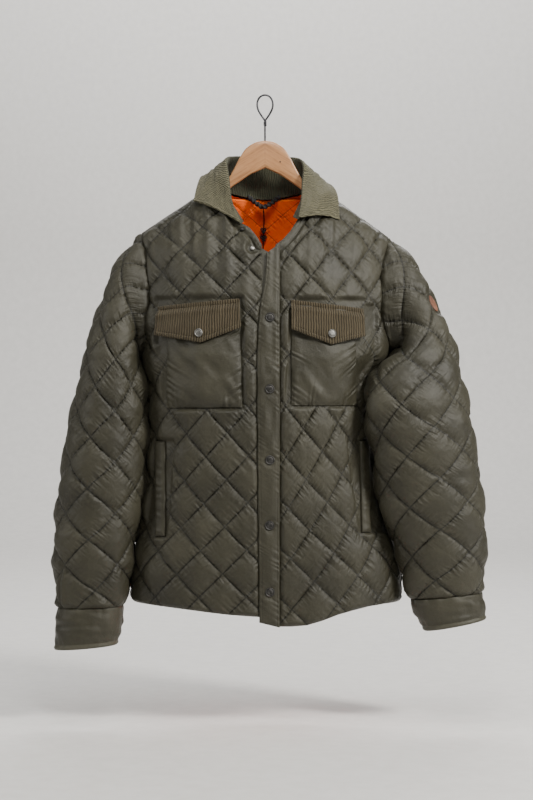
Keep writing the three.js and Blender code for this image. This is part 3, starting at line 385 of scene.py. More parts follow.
def quilting(p, q, quilt, seed, puff=PUFF):
    """Padding over the wall, pucker beside the lines and place in the lattice."""
    across, up, lean, p0, q0 = quilt
    i, j = (p - p0) / across, (q - q0 - lean * (p - p0)) / up
    a, b = (i + j) / 2, (i - j) / 2
    fa, fb = np.abs(a - np.round(a)), np.abs(b - np.round(b))
    unit = 2 * across * up / np.hypot(across, up)
    cell = np.hypot(across, up)
    da, db = fa * unit, fb * unit
    height = puff * (np.sin(np.pi * fa) * np.sin(np.pi * fb)) ** 0.45
    height *= 1 + 0.12 * noise(a * 1.3, b * 1.3, seed)
    pucker = 0
    for along, d, line, salt in ((b, da, np.round(a), 3.1), (a, db, np.round(b), 7.7)):
        s = along * cell
        phase = 5 * noise(s / 23, line * 1.7, seed + salt) + line * 2.1
        strength = 0.75 + 0.5 * noise(s / 31, line * 2.3 + 9, seed + salt)
        reach = 11 + 7 * noise(s / 19, line * 3.1, seed + salt + 1)
        wave = 1 - 1.9 * np.abs(np.sin(s / 2.9 + phase)) ** 0.7
        pucker = pucker + strength * wave * np.exp(-d / reach) * (1 - np.exp(-d / 2.2))
    return height, pucker - 1.2 * mark(np.minimum(da, db), 0, 1.5) / PUCKER, a, b


ROOT = "root"


def normals_of(points, round_u=False):
    """Normals of a grid; with round_u its last column is the first again."""
    if round_u:
        wide = np.concatenate([points[:, -2:-1], points, points[:, 1:2]], 1)
        du = (wide[:, 2:] - wide[:, :-2]) / 2
    else:
        du = np.gradient(points, axis=1)
    dv = np.gradient(points, axis=0)
    n = np.cross(du, dv)
    return n / np.maximum(np.linalg.norm(n, axis=2, keepdims=True), 1e-9)


def wall(name, outer, inner, uv, materials, rows_material=None, round_u=False):
    """Closed wall: a fine outer grid, a coarser inner one and a rim.

    With round_u the last column is the first again.
    """
    nv, nu = outer.shape[:2]
    coarse = inner[::STRIDE, ::STRIDE]
    if round_u:
        outer, coarse = outer[:, :-1], coarse[:, :-1]
    ou, cu = outer.shape[1], coarse.shape[1]
    points = np.concatenate([outer.reshape(-1, 3), coarse.reshape(-1, 3)]) * MM

    def fine(v, u):
        return v * ou + (u % ou)

    def plain(v, u):
        return nv * ou + (v // STRIDE) * cu + ((u // STRIDE) % cu)

    def cells(index, step, order):
        v, u = np.meshgrid(np.arange(0, nv - 1, step), np.arange(0, nu - 1, step), indexing="ij")
        corners = [(v, u), (v, u + step), (v + step, u + step), (v + step, u)]
        corners = [corners[k] for k in order]
        quads = np.stack([index(*at) for at in corners], -1)
        return quads.reshape(-1, 4), np.stack([uv[at] for at in corners], -2)

    quads, quad_uv = cells(fine, 1, (0, 1, 2, 3))
    inner_quads, inner_uv = cells(plain, STRIDE, (0, 3, 2, 1))
    if round_u:
        runs = [[(0, k) for k in range(nu)], [(nv - 1, k) for k in range(nu - 1, -1, -1)]]
    else:
        ring = [(0, u) for u in range(nu - 1)] + [(v, nu - 1) for v in range(nv - 1)]
        ring += [(nv - 1, u) for u in range(nu - 1, 0, -1)]
        ring += [(v, 0) for v in range(nv - 1, 0, -1)]
        runs = [ring + ring[:1]]
    rim, rim_uv = [], []
    for run in runs:
        for k in range(0, len(run) - 1, STRIDE):
            f = [(fine(*at), uv[at]) for at in run[k : k + STRIDE + 1]]
            a, b = [(plain(*at), uv[at]) for at in (run[k], run[k + STRIDE])]
            fan = [(f[1], f[0], a), (f[2], f[1], a), (f[2], a, b), (f[3], f[2], b), (f[4], f[3], b)]
            for corners in fan:
                rim.append([index for index, _ in corners])
                rim_uv.append([where for _, where in corners])
    rim = np.array(rim)
    loops = np.concatenate([quads.ravel(), inner_quads.ravel(), rim.ravel()])
    four = len(quads) + len(inner_quads)
    counts = np.concatenate([np.full(four, 4), np.full(len(rim), 3)])
    starts = np.concatenate([[0], np.cumsum(counts)[:-1]])
    mesh = bpy.data.meshes.new(name)
    mesh.vertices.add(len(points))
    mesh.vertices.foreach_set("co", points.ravel())
    mesh.loops.add(len(loops))
    mesh.loops.foreach_set("vertex_index", loops.astype(np.int32))
    mesh.polygons.add(len(counts))
    mesh.polygons.foreach_set("loop_start", starts.astype(np.int32))
    width = uv.shape[-1]
    places = [each.reshape(-1, width) for each in (quad_uv, inner_uv, np.array(rim_uv))]
    places = np.concatenate(places)
    for layer, first in (("flat", 0), ("lattice", 2)):
        if width > first:
            data = mesh.uv_layers.new(name=layer).data
            data.foreach_set("uv", np.ascontiguousarray(places[:, first : first + 2]).ravel())
    index = np.zeros(len(counts), np.int32)
    index[len(quads) : four] = min(len(materials) - 1, 1)
    if rows_material is not None:
        index[: len(quads)] = np.repeat(rows_material[: nv - 1], nu - 1)
    for material in materials:
        mesh.materials.append(material)
    mesh.polygons.foreach_set("material_index", index)
    mesh.update(calc_edges=True)
    mesh.validate()
    return place(name, mesh, 1.05)


def place(name, mesh, sharp_from):
    """Adds a piece with smooth faces and edges sharp from an angle on."""
    mesh.polygons.foreach_set("use_smooth", np.ones(len(mesh.polygons), bool))
    mesh.set_sharp_from_angle(angle=sharp_from)
    piece = bpy.data.objects.new(name, mesh)
    bpy.context.scene.collection.objects.link(piece)
    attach(piece, ROOT)
    return piece


def solid(name, points, faces, material, sharp_from):
    """Piece from points and faces."""
    mesh = bpy.data.meshes.new(name)
    mesh.from_pydata([tuple(float(c) * MM for c in p) for p in points], [], faces)
    mesh.materials.append(material)
    mesh.update(calc_edges=True)
    return place(name, mesh, sharp_from)


def rings_faces(first, second, count):
    """Faces between two closed rings of points that start at two indices."""
    after = [(k + 1) % count for k in range(count)]
    return [(first + k, second + k, second + after[k], first + after[k]) for k in range(count)]


def steps_for(length, step):
    """Grid points along a length, one more than a whole number of strides."""
    return max(int(round(length / step / STRIDE)), 1) * STRIDE + 1


def dress(piece, nodes):
    """Hides the CAD parts that a piece stands for."""
    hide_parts(*nodes)
    return piece


def cloth(node, slot, outer, inner, uv, materials, **options):
    """Wall that replaces one node and is named after it."""
    return dress(wall(node + "_cloth", outer, inner, uv, materials, **options), [node])


class Nodes:
    """Small helper to wire a material's nodes."""

    def __init__(self, name):
        self.material = bpy.data.materials.new(name)
        self.material.use_nodes = True
        self.tree = self.material.node_tree
        self.shader = self.tree.nodes["Principled BSDF"]

    def node(self, kind, inputs=None, **settings):
        made = self.tree.nodes.new(kind)
        for key, value in settings.items():
            setattr(made, key, value)
        for key, value in (inputs or {}).items():
            self.put(made.inputs[key], value)
        return made

    def put(self, socket, value):
        if isinstance(value, bpy.types.NodeSocket):
            self.tree.links.new(value, socket)
        else:
            socket.default_value = value

    def math(self, operation, *values):
        made = self.node("ShaderNodeMath", operation=operation)
        for k, value in enumerate(values):
            self.put(made.inputs[k], value)
        return made.outputs[0]

    def add(self, a, b):
        return self.math("ADD", a, b)

    def times(self, a, b):
        return self.math("MULTIPLY", a, b)

    def ramp(self, value, stops):
        made = self.tree.nodes.new("ShaderNodeValToRGB")
        self.put(made.inputs[0], value)
        elements = made.color_ramp.elements
        while len(elements) < len(stops):
            elements.new(0.5)
        for element, (at, colour) in zip(elements, stops):
            element.position = at
            element.color = (*colour, 1)
        return made.outputs[0]

    def noise(self, vector, scale, detail=4.0, rough=0.5):
        inputs = {"Vector": vector, "Scale": scale, "Detail": detail, "Roughness": rough}
        return self.node("ShaderNodeTexNoise", inputs).outputs["Fac"]

    def mix(self, factor, a, b):
        made = self.node("ShaderNodeMix", data_type="RGBA")
        self.put(made.inputs[0], factor)
        for k, value in ((6, a), (7, b)):
            is_socket = isinstance(value, bpy.types.NodeSocket)
            self.put(made.inputs[k], value if is_socket else (*value, 1))
        return made.outputs[2]

    def bump(self, height, strength, distance, normal=None):
        inputs = {"Height": height, "Strength": strength, "Distance": distance}
        if normal is not None:
            inputs["Normal"] = normal
        return self.node("ShaderNodeBump", inputs).outputs[0]

    def flat(self, layer="flat"):
        return self.node("ShaderNodeUVMap", uv_map=layer).outputs[0]

    def spot(self):
        return self.node("ShaderNodeTexCoord").outputs["Object"]

    def split(self, vector):
        return self.node("ShaderNodeSeparateXYZ", {"Vector": vector}).outputs

    def join(self, x, y, z=0.0):
        inputs = {"X": x, "Y": y, "Z": z}
        return self.node("ShaderNodeCombineXYZ", inputs).outputs[0]

    def wave(self, value, pitch):
        return self.math("SINE", self.times(value, 2 * np.pi / pitch))

    def set(self, **values):
        for key, value in values.items():
            socket = self.shader.inputs[key.replace("_", " ")]
            self.put(socket, (*value, 1) if isinstance(value, tuple) and len(value) == 3 else value)


def nylon(name, dark, light, stitch_and_groove_shade=None):
    """Fine plain weave with small creases; with a stitch colour it is quilted, its lines dark from
    the thread and from painted shade in the stitched grooves.
    """
    m = Nodes(name)
    spot = m.spot()
    x, y, _ = m.split(m.flat())
    broad, fine = m.noise(spot, 14.0, 3.0), m.noise(spot, 260.0, 2.0)
    shade = m.add(m.times(broad, 0.75), m.times(fine, 0.25))
    colour = m.ramp(shade, [(0.3, dark), (0.7, light)])
    weave = m.times(m.wave(x, 0.0009), m.wave(y, 0.0009))
    normal = m.bump(m.add(weave, m.times(fine, 1.2)), 0.25, 0.0002)
    normal = m.bump(m.noise(spot, 85.0, 4.0, 0.62), 0.5, 0.0024, normal)
    if stitch_and_groove_shade:
        a, b, _ = m.split(m.flat("lattice"))
        thread_and_groove_shade = []
        for along, across, salt in ((b, a, 3.0), (a, b, 11.0)):
            fraction = m.math("FRACT", m.add(across, 0.5))
            off = m.math("ABSOLUTE", m.math("SUBTRACT", fraction, 0.5))
            reach = m.ramp(off, [(0.0, (1, 1, 1)), (0.34, (0, 0, 0))])
            drawn = m.join(m.times(along, 11.5), m.times(across, 2.2), salt)
            normal = m.bump(m.times(m.noise(drawn, 1.0, 2.5), reach), 0.8, 0.0052, normal)
            # Dark line on each quilting line: the dashed thread, and painted shade in the groove
            # all along it
            near = m.math("LESS_THAN", off, 0.016)
            dash = m.math("LESS_THAN", m.math("FRACT", m.times(along, 17.0)), 0.75)
            thread_and_groove_shade.append(m.times(near, m.math("MULTIPLY_ADD", dash, 0.4, 0.6)))
        colour = m.mix(m.times(m.math("MAXIMUM", *thread_and_groove_shade), 0.8), colour, stitch_and_groove_shade)
    rough = m.math("MULTIPLY_ADD", broad, 0.2, 0.42)
    m.set(Base_Color=colour, Roughness=rough, Normal=normal, Sheen_Weight=0.04)
    m.set(Sheen_Roughness=0.4, Sheen_Tint=(0.6, 0.58, 0.5), Specular_IOR_Level=0.36)
    return m.material


def corduroy(name, valley_with_shade, rib, pitch, fuzz, wander):
    """Ribs along the second flat direction, worn in patches; the valleys between ribs are darker,
    partly the ground cloth and partly painted shade in the grooves.
    """
    m = Nodes(name)
    x, spot = m.split(m.flat())[0], m.spot()
    run = m.add(x, m.times(m.noise(spot, 46.0, 3.0, 0.6), pitch * wander))
    ribs = m.math("POWER", m.math("MULTIPLY_ADD", m.wave(run, pitch), 0.5, 0.5), 0.6)
    broad = m.ramp(m.noise(spot, 60.0, 5.0, 0.65), [(0.35, (0, 0, 0)), (0.65, (1, 1, 1))])
    pile = m.noise(spot, 900.0, 2.0)
    worn = m.mix(m.times(broad, 0.75), rib, tuple(min(c * 1.5, 1) for c in rib))
    # Valleys take the dark colour: partly the ground cloth, partly painted shade between the ribs
    colour = m.mix(m.math("MULTIPLY_ADD", pile, 0.3, m.times(ribs, 0.75)), valley_with_shade, worn)
    normal = m.bump(m.add(ribs, m.times(pile, 0.35)), 0.9, 0.0015)
    m.set(Base_Color=colour, Roughness=0.92, Normal=normal, Sheen_Weight=fuzz)
    m.set(Sheen_Roughness=0.45, Sheen_Tint=(0.75, 0.72, 0.6), Specular_IOR_Level=0.2)
    return m.material


def black_tape():
    m = Nodes("black_tape")
    fine = m.noise(m.spot(), 700.0, 2.0)
    colour = m.ramp(fine, [(0.3, (0.003, 0.003, 0.0035)), (0.75, (0.011, 0.011, 0.012))])
    m.set(Base_Color=colour, Roughness=0.8, Normal=m.bump(fine, 0.6, 0.0004))
    return m.material


def gunmetal(name, dark, light, rough):
    """Worn metal between a dark and a light tone."""
    m = Nodes(name)
    wear = m.noise(m.spot(), 240.0, 4.0, 0.6)
    colour = m.ramp(wear, [(0.35, dark), (0.7, light)])
    m.set(Base_Color=colour, Metallic=1.0, Roughness=m.math("MULTIPLY_ADD", wear, 0.25, rough))
    m.set(Normal=m.bump(wear, 0.2, 0.0002))
    return m.material


def beech():
    """Two arms cut with their grain along them, joined at the middle."""
    m = Nodes("beech")
    spot = m.spot()
    x, y, z = m.split(spot)
    out = m.times(x, m.math("SIGN", x))
    across = m.add(z, m.times(out, 0.62))
    along = m.math("SUBTRACT", out, m.times(z, 0.62))
    grain_at = m.join(m.times(along, 9.0), m.times(across, 120.0), m.times(y, 60.0))
    grain = m.noise(grain_at, 1.6, 6.0, 0.62)
    flecks = m.noise(m.join(m.times(along, 90.0), m.times(across, 800.0)), 1.0, 3.0)
    tones = [(0.3, (0.20, 0.085, 0.031)), (0.5, (0.33, 0.158, 0.062)), (0.72, (0.42, 0.218, 0.094))]
    colour = m.ramp(m.add(m.times(grain, 0.7), m.times(flecks, 0.3)), tones)
    joint = m.math("LESS_THAN", m.math("ABSOLUTE", x), 0.00035)
    colour = m.mix(m.times(joint, 0.5), colour, (0.16, 0.07, 0.03))
    to_knot = {0: spot, 1: (0.0252, -0.006, -0.1105)}
    off = m.node("ShaderNodeVectorMath", to_knot, operation="DISTANCE").outputs["Value"]
    colour = m.mix(m.math("LESS_THAN", off, 0.0016), colour, (0.07, 0.03, 0.015))
    rough = m.math("MULTIPLY_ADD", grain, 0.2, 0.3)
    m.set(Base_Color=colour, Roughness=rough, Normal=m.bump(flecks, 0.15, 0.0003))
    m.set(Coat_Weight=0.25, Coat_Roughness=0.25)
    return m.material


def leather():
    m = Nodes("leather")
    spot = m.spot()
    grain = m.node("ShaderNodeTexVoronoi", {"Vector": spot, "Scale": 900.0}).outputs["Distance"]
    broad = m.noise(spot, 90.0, 3.0)
    colour = m.ramp(broad, [(0.3, (0.085, 0.03, 0.014)), (0.7, (0.17, 0.065, 0.03))])
    m.set(Base_Color=colour, Roughness=0.6, Normal=m.bump(grain, 0.5, 0.0004))
    return m.material


# The third colour of a quilted nylon paints its stitched lines: the thread, and painted shade in
# the grooves
SHELL = nylon("shell", (0.0175, 0.0158, 0.0085), (0.037, 0.0338, 0.0200), (0.004, 0.0037, 0.002))
PLAIN = nylon("shell_plain", (0.019, 0.0172, 0.0095), (0.039, 0.0358, 0.0215))
EDGE = nylon("shell_edge", (0.036, 0.0335, 0.0205), (0.064, 0.060, 0.040))
LINING = nylon("lining", (0.90, 0.12, 0.008), (1.0, 0.185, 0.016), (0.35, 0.04, 0.004))
LINING_PLAIN = nylon("lining_plain", (0.85, 0.11, 0.008), (0.98, 0.165, 0.014))
COLLAR_CORD = corduroy(
    "collar_corduroy", (0.017, 0.0155, 0.008), (0.098, 0.091, 0.056), 0.0038, 0.16, 3.8
)
# The stand's corduroy is the collar's, painted darker: painted shade inside the neck and under the
# hanger
SHADED_STAND_CORD = corduroy(
    "shaded_stand_corduroy", (0.016, 0.017, 0.010), (0.045, 0.046, 0.028), 0.0034, 0.15, 2.5
)
FLAP_CORD = corduroy(
    "flap_corduroy", (0.006, 0.005, 0.003), (0.060, 0.047, 0.027), 0.004, 0.12, 1.3
)
TAPE = black_tape()
METAL = gunmetal("stud_metal", (0.034, 0.033, 0.031), (0.085, 0.082, 0.078), 0.45)
PEWTER = gunmetal("flap_stud_metal", (0.13, 0.128, 0.12), (0.26, 0.255, 0.24), 0.4)
BRIGHT = gunmetal("bright_metal", (0.28, 0.27, 0.25), (0.5, 0.49, 0.46), 0.35)
STEEL = gunmetal("hook_steel", (0.035, 0.035, 0.04), (0.09, 0.09, 0.095), 0.28)
WOOD = beech()
LEATHER = leather()


def flat_uv(p, q, *lattice):
    """Places in metres, with those in the quilting's lattice if there is one."""
    return np.stack([p * MM, q * MM, *lattice], -1)


def on_body(grid, shift=0):
    """Places of a flat grid, its points on the body's form and their normals."""
    p, q = grid[..., 0], grid[..., 1]
    base = body(p + shift, q)
    return p, q, base, normals_of(base)


def raised(base, n, h):
    """Points moved out along their normals."""
    return base + n * h[..., None]


SEWN = [
    np.vstack([flat(x, z)[0] for x, z in corners])
    for group in (POCKETS, FLAPS, WELTS)
    for corners in group.values()
]


def outside_box(p, q, corners):
    """Distance outside the box of some flat corners; nothing within it."""
    low, high = corners.min(0), corners.max(0)
    dp = np.maximum(np.maximum(low[0] - p, p - high[0]), 0)
    dq = np.maximum(np.maximum(low[1] - q, q - high[1]), 0)
    return np.hypot(dp, dq)


def clear_of_sewn(p, q):
    """Keeps the padding away from the pieces sewn on the fronts."""
    keep = np.ones_like(p)
    for corners in SEWN:
        keep = np.minimum(keep, smooth(0, 6.5, outside_box(p, q, corners)))
    for x, z in SOCKETS:
        s, r = flat(x, z)[0]
        keep = np.minimum(keep, smooth(7, 13, np.hypot(p - s, q - r)))
    return keep


def drape(p, q, seed):
    """Soft hang of the cloth: long shallow folds and small ones across them."""
    tall = noise(p / 26, q / 120, seed) * 1.3 + noise(p / 11, q / 55, seed + 5) * 0.45
    return tall + noise(p / 60, q / 24, seed + 9) * 0.5


def meeting(n, to_shoulder, lean):
    """Normals turned up along the shoulder, so that front and back close over it."""
    n = n.copy()
    n[..., 1] = lean + (n[..., 1] - lean) * smooth(0, 12, to_shoulder)
    return n / np.linalg.norm(n, axis=2, keepdims=True)


def shoulder_stitches(to_shoulder):
    """Two stitched lines beside the shoulder seam."""
    return 0.9 * mark(to_shoulder, 3.5, 1.3) + 0.9 * mark(to_shoulder, 10, 1.3)


def draw_front(side):
    sign, name, table = SIGN[side], "front_" + side, HEMS[side]
    left = side == "left"
    edge = BAND_LEFT + BAND_OVER if left else BAND_RIGHT - BAND_OVER
    neck = np.vstack([flat(x, z)[0] for x, z in NECKS[side]])
    rim, top = armhole(side, False, ARM_GAP), shoulder(side, False)
    rim[0, 0] = sign * (SIDE - SIDE_GAP)
    low = hem(table, edge, sign * HEM_END_X, False)
    low[-1] = [rim[0, 0], HEM_SIDE_Z - UNDERARM_Z]
    z_run = np.linspace(V_BOTTOM_Z + 16, float(look(table[:, 0], table[:, 1], abs(edge))), 24)
    band_line = flat(np.full(24, edge), z_run)[::-1]
    seam, neck_line = np.vstack([rim, top]), np.vstack([neck, band_line[-1:]])
    band_line[0] = low[0]
    outer_line = np.vstack([low[-1:], rim, top[:1]])
    top_line = np.vstack([top, neck_line])[::-1]
    nu, nv = steps_for(215, FRONT_STEP), steps_for(600, FRONT_STEP)
    grid = coons(low, outer_line, top_line, band_line, nu, nv)
    p, q, base, n = on_body(grid[:, ::-1] if left else grid)
    to_shoulder, to_neck, to_seam = (to_line(p, q, line) for line in (top, neck_line, seam))
    n = meeting(n, to_shoulder, 0.4)
    pad, pucker, a, b = quilting(p, q, QUILTS[name], 11 + sign)
    beside_band = band_left(base[..., 2]) - base[..., 0] if left else base[..., 0] - BAND_RIGHT
    keep = clear_of_sewn(p, q) * smooth(11, 17, to_neck)
    keep *= smooth(0, 9, to_seam) ** 0.5 * smooth(2, 22, to_shoulder)
    keep *= smooth(0, 7, to_line(p, q, low)) ** 0.5 * smooth(-1, 7, beside_band) ** 0.5
    folds = drape(p, q, 31 + sign) + 3.0 * noise(p / 15, q / 190, 4 + sign) * smooth(50, 150, q)
    folds += 2.6 * noise(p / 7.5, q / 110, 8 + sign) * smooth(130, 190, q)
    folds *= keep * (0.5 + 0.5 * smooth(10, 90, to_seam))
    strip = (1.8 + 0.7 * noise((p + q) / 4.2, (p - q) / 4.2, 19)) * (1 - smooth(7, 12, to_neck))
    strip *= 0.4 + 0.6 * smooth(0, 3, to_neck)
    h = WALL + pad * keep + folds + strip - mark(to_neck, 12, 1.6)
    h += PUCKER * pucker * np.minimum(keep + 0.25, 1) * smooth(-3, 1, beside_band)
    h = np.maximum(h - shoulder_stitches(to_shoulder), LEAST)
    uv = flat_uv(p, q, a, b)
    piece = cloth(name, "shell", raised(base, n, h), base, uv, [SHELL, LINING_PLAIN])


def draw_back():
    def half(side):
        sign = SIGN[side]
        rim, top = armhole(side, True, ARM_GAP), shoulder(side, True)
        rim[0, 0] = BACK - sign * (SIDE - SIDE_GAP)
        neck = np.vstack([flat(sign * x, z, True)[0] for x, z in NECK_BACK])
        foot = hem(HEMS["left"], 0, sign * HEM_END_X, True)
        foot[-1] = [rim[0, 0], HEM_SIDE_Z - UNDERARM_Z]
        for line in (rim, top, neck, foot):
            line[:, 0] = np.mod(line[:, 0] + RING, RING) - BACK
        return rim, top, neck, foot

    (rim_l, top_l, neck_l, foot_l), (rim_r, top_r, neck_r, foot_r) = half("left"), half("right")
    low = np.vstack([foot_r[::-1], foot_l[1:]])
    right_edge = np.vstack([foot_l[-1:], rim_l, top_l[:1]])
    left_edge = np.vstack([foot_r[-1:], rim_r, top_r[:1]])
    high = np.vstack([top_r, neck_r, neck_l[::-1][1:], top_l[::-1]])
    nu, nv = steps_for(420, BACK_STEP), steps_for(600, BACK_STEP)
    p, q, base, n = on_body(coons(low, right_edge, high, left_edge, nu, nv), BACK)
    to_shoulder = np.minimum(to_line(p, q, top_l), to_line(p, q, top_r))
    n = meeting(n, to_shoulder, 0.0)
    pad, pucker, a, b = quilting(p, q, QUILTS["back"], 23)
    seams = [np.vstack([rim_l, top_l]), np.vstack([rim_r, top_r])]
    keep = smooth(0, 9, np.minimum(*[to_line(p, q, seam) for seam in seams])) ** 0.5
    keep *= smooth(0, 7, to_line(p, q, low)) ** 0.5 * smooth(2, 22, to_shoulder)
    h = WALL + (pad + drape(p, q, 41)) * keep + PUCKER * pucker * np.minimum(keep + 0.25, 1)
    h = np.maximum(h - shoulder_stitches(to_shoulder), LEAST)
    uv = flat_uv(p, q, a, b)
    piece = cloth("back", "shell", raised(base, n, h), base, uv, [SHELL, LINING_PLAIN])


def ring_points(row, side, angle):
    """Section of a sleeve or cuff from its row of numbers."""
    outer, inner = np.array(row[:3], float), np.array(row[3:6], float)
    half = (outer - inner) / 2
    backward = np.array([-half[1], half[0], 0]) * SIGN[side]
    backward = backward / np.linalg.norm(backward)
    turned = angle + np.radians(row[7])
    across = half * power(np.cos(turned), 0.92)[:, None]
    deep = SIGN[side] * row[6] * backward * power(np.sin(turned), 0.92)[:, None]
    return (outer + inner) / 2 - across - deep


def armhole_ring(side, angle):
    """Ring of the armhole in space, where the sleeve ends."""
    def half(back):
        places = armhole(side, back, 1.2)
        return body(places[:, 0], np.maximum(places[:, 1], 0))

    first, second = half(side == "left"), half(side == "right")
    tip = [[SIGN[side] * (TIP_X - 1), 0, float(ridge(np.array(SIGN[side] * TIP_X)))]]
    points = np.vstack([first, tip, second[::-1]])
    lengths = lengths_along(points)
    at = np.mod(angle / (2 * np.pi), 1.0) * lengths[-1]
    at[-1] = lengths[-1]
    return np.stack([np.interp(at, lengths, points[:, k]) for k in range(3)], -1)


def sleeve_base(side, nu, nv):
    """Sleeve through its sections, with rows spread evenly along each line."""
    angle = np.linspace(0, 2 * np.pi, nu)
    knots = [ring_points(row, side, angle) for row in SLEEVES[side]]
    knots.append(armhole_ring(side, angle))
    count = len(knots) - 1
    knots = np.array([2 * knots[0] - knots[1], *knots, 2 * knots[-1] - knots[-2]])
    fine = []
    for w in np.linspace(0, count, count * 24 + 1):
        k = min(int(w), count - 1)
        fine.append(between(*knots[k : k + 4], w - k))
    fine = np.array(fine)
    lengths = lengths_along(fine)
    q = np.linspace(0, 1, nv)[:, None] * lengths[-1]
    out = at_lengths(fine, lengths, q)
    for _ in range(2):  # takes out the corners between the fine rows
        out[1:-1] = (out[:-2] + 2 * out[1:-1] + out[2:]) / 4
    return out, around(out, angle), q


def around(base, angle):
    """Place across a round wall, from the middle of its front."""
    girth = np.linalg.norm(np.diff(base, axis=1), axis=2).sum(1)
    return (angle / (2 * np.pi) - 0.5)[None, :] * girth[:, None]


def draw_sleeve(side):
    sign, name = SIGN[side], "sleeve_" + side
    nu, nv = steps_for(380, SLEEVE_STEP), steps_for(560, SLEEVE_STEP)
    base, p, q = sleeve_base(side, nu, nv)
    n = normals_of(base, True)
    pad, pucker, a, b = quilting(p, q, QUILTS["sleeve"], 51 + sign)
    below_head = q[-1][None, :] - q
    keep = smooth(0, 12, below_head) ** 0.5 * smooth(0, 9, q) ** 0.5
    keep *= smooth(0, 7, p[:, -1:] - np.abs(p)) ** 0.5
    if side == "right":
        near = np.unravel_index(np.argmin(np.linalg.norm(base - PATCH_SPOT, axis=2)), p.shape)
        keep *= smooth(17, 30, np.hypot(p - p[near], q - q[near]))
    else:
        # Short opening over the cuff, its edge folded under
        beside = base[..., 0] + 329
        opening = smooth(0, 8, -38 - base[..., 1]) * smooth(0, 14, -766 - base[..., 2])
        pad = pad - opening * (4.5 * mark(beside, 0, 2.2) - 2.2 * mark(beside, 5, 3))
    gathers = np.exp(-below_head / 14) * np.sin(p / 2.7 + 3 * noise(p / 20, q / 40, 5)) * 0.9
    near_cuff = np.exp(-q / 13) * np.sin(p / 3.4 + 4 * noise(p / 30, q / 30, 15)) * 0.9
    # Slack cloth folds across the arm at the elbow and over the cuff
    slack = 1.5 * noise(p / 50 + q / 90, q / 15, 61 + sign)
    slack *= smooth(0, 60, q) * smooth(0, 80, below_head)
    wide = 1.2 * noise(p / 30, q / 45, 71 + sign)
    h = WALL + (pad + slack + wide) * keep + PUCKER * pucker * np.minimum(keep + 0.25, 1)
    h = np.maximum(h + gathers + near_cuff, LEAST)
    h[:, -1] = h[:, 0]
    outer, uv = raised(base, n, h), flat_uv(p, q, a, b)
    piece = cloth(name, "shell", outer, base, uv, [SHELL, PLAIN], round_u=True)
    if side == "right":
        draw_patch(base, n, p, q, near)


def draw_patch(base, n, p, q, near):
    """Round leather patch, domed a little and stitched round its rim."""
    radius, rings, spokes = 15.0, 9, 48

    def terms(x, y):
        return np.stack([np.ones_like(x), x, y, x * x, x * y, y * y], -1)

    rows = np.argsort(np.linalg.norm(base - base[near], axis=2).ravel())[:1500]
    beside = terms(p.ravel()[rows] - p[near], q.ravel()[rows] - q[near])
    fit = np.linalg.lstsq(beside, base.reshape(-1, 3)[rows], rcond=None)[0]
    turn = np.arange(spokes) / spokes * 2 * np.pi

    def ring(share, lift):
        at = terms(radius * share * np.cos(turn), radius * share * np.sin(turn)) @ fit
        return at + n[near] * np.reshape(lift, (-1, 1))

    points = []
    for r in range(rings + 1):
        share = r / rings
        stitched = 0.5 if 0.78 < share < 0.86 else 0
        lift = 4.3 + 0.25 * np.cos(turn * 3) - stitched - 0.9 * smooth(0.9, 1.0, share)
        points.extend(ring(share, lift))
    points.extend(ring(1, 2.4))
    points.append(fit[0] + n[near] * 2.4)
    faces = [(0, spokes + k, spokes + (k + 1) % spokes) for k in range(spokes)]
    for r in range(1, rings + 1):
        faces += rings_faces(r * spokes, (r + 1) * spokes, spokes)
    under, middle = (rings + 1) * spokes, (rings + 2) * spokes
    faces += [(under + k, middle, under + (k + 1) % spokes) for k in range(spokes)]
    dress(solid("sleeve_patch", points, faces, LEATHER, 0.6), ["patch"])


def draw_cuff(side):
    """Plain cuff, stitched along its lower edge."""
    sign = SIGN[side]
    nu, nv = 241, 33
    angle = np.linspace(0, 2 * np.pi, nu)
    foot, head = (ring_points(row, side, angle) for row in (CUFFS[side], SLEEVES[side][0]))
    v = np.linspace(0, 1, nv)[:, None, None]
    length = np.linalg.norm(head - foot, axis=1).mean()
    base = foot[None] + (head - foot)[None] * v * (1 - 0.6 / length)
    n = normals_of(base, True)
    p = around(base, angle)
    q = np.linspace(0, length, nv)[:, None] * np.ones((1, nu))
    plump = 1.6 * bulge(q / 6.5) + 2.8 * bulge((q - 7.5) / (length - 7.5))
    creases = 1.9 * noise(p / 24 + q / 40, q / 10, 81 + sign)
    creases += 1.1 * noise(p / 11, q / 30, 83 + sign)
    drawn = np.exp(-(length - q) / 7) + 0.7 * np.exp(-np.abs(q - 9) / 5)
    drawn *= np.sin(p / 2.6 + 4 * noise(p / 25, q / 30, 3))
    h = 2.4 + plump + creases * smooth(7, 18, q) + 0.6 * drawn * smooth(7, 9, q)
    h[:, -1] = h[:, 0]
    rows = np.where(q[:, 0] < 6.6, 2, 0)
    materials = [PLAIN, PLAIN, EDGE]
    piece = cloth("cuff_" + side, "shell", raised(base, n, h), base, flat_uv(p, q), materials,
                  rows_material=rows, round_u=True)


def sewn_grid(low, high, *steps):
    """Flat grid seen from the front between a lower and an upper line of corners."""
    nu, nv = steps
    low, high = (resample(np.array(line, float), nu)[None] for line in (low, high))
    v = np.linspace(0, 1, nv)[:, None, None]
    seen = low * (1 - v) + high * v
    return on_body(flat(seen[..., 0], seen[..., 1]))


def edge_distances(p, q):
    """Distance of each point from the left, right, lower and upper edge of its grid."""
    edges = (np.s_[:, :1], np.s_[:, -1:], np.s_[:1], np.s_[-1:])
    return [np.hypot(p - p[edge], q - q[edge]) for edge in edges]


def radiating(along, off, seed, reach, pitch=2.1):
    """Puckers that run in from a gathered seam."""
    phase = 4 * noise(along / 16, off / 60, seed)
    strength = np.maximum(noise(along / 13, off / 70, seed + 3) + 0.25, 0)
    return strength * np.sin(along / pitch + phase) * np.exp(-off / reach) * smooth(0, 3, off)


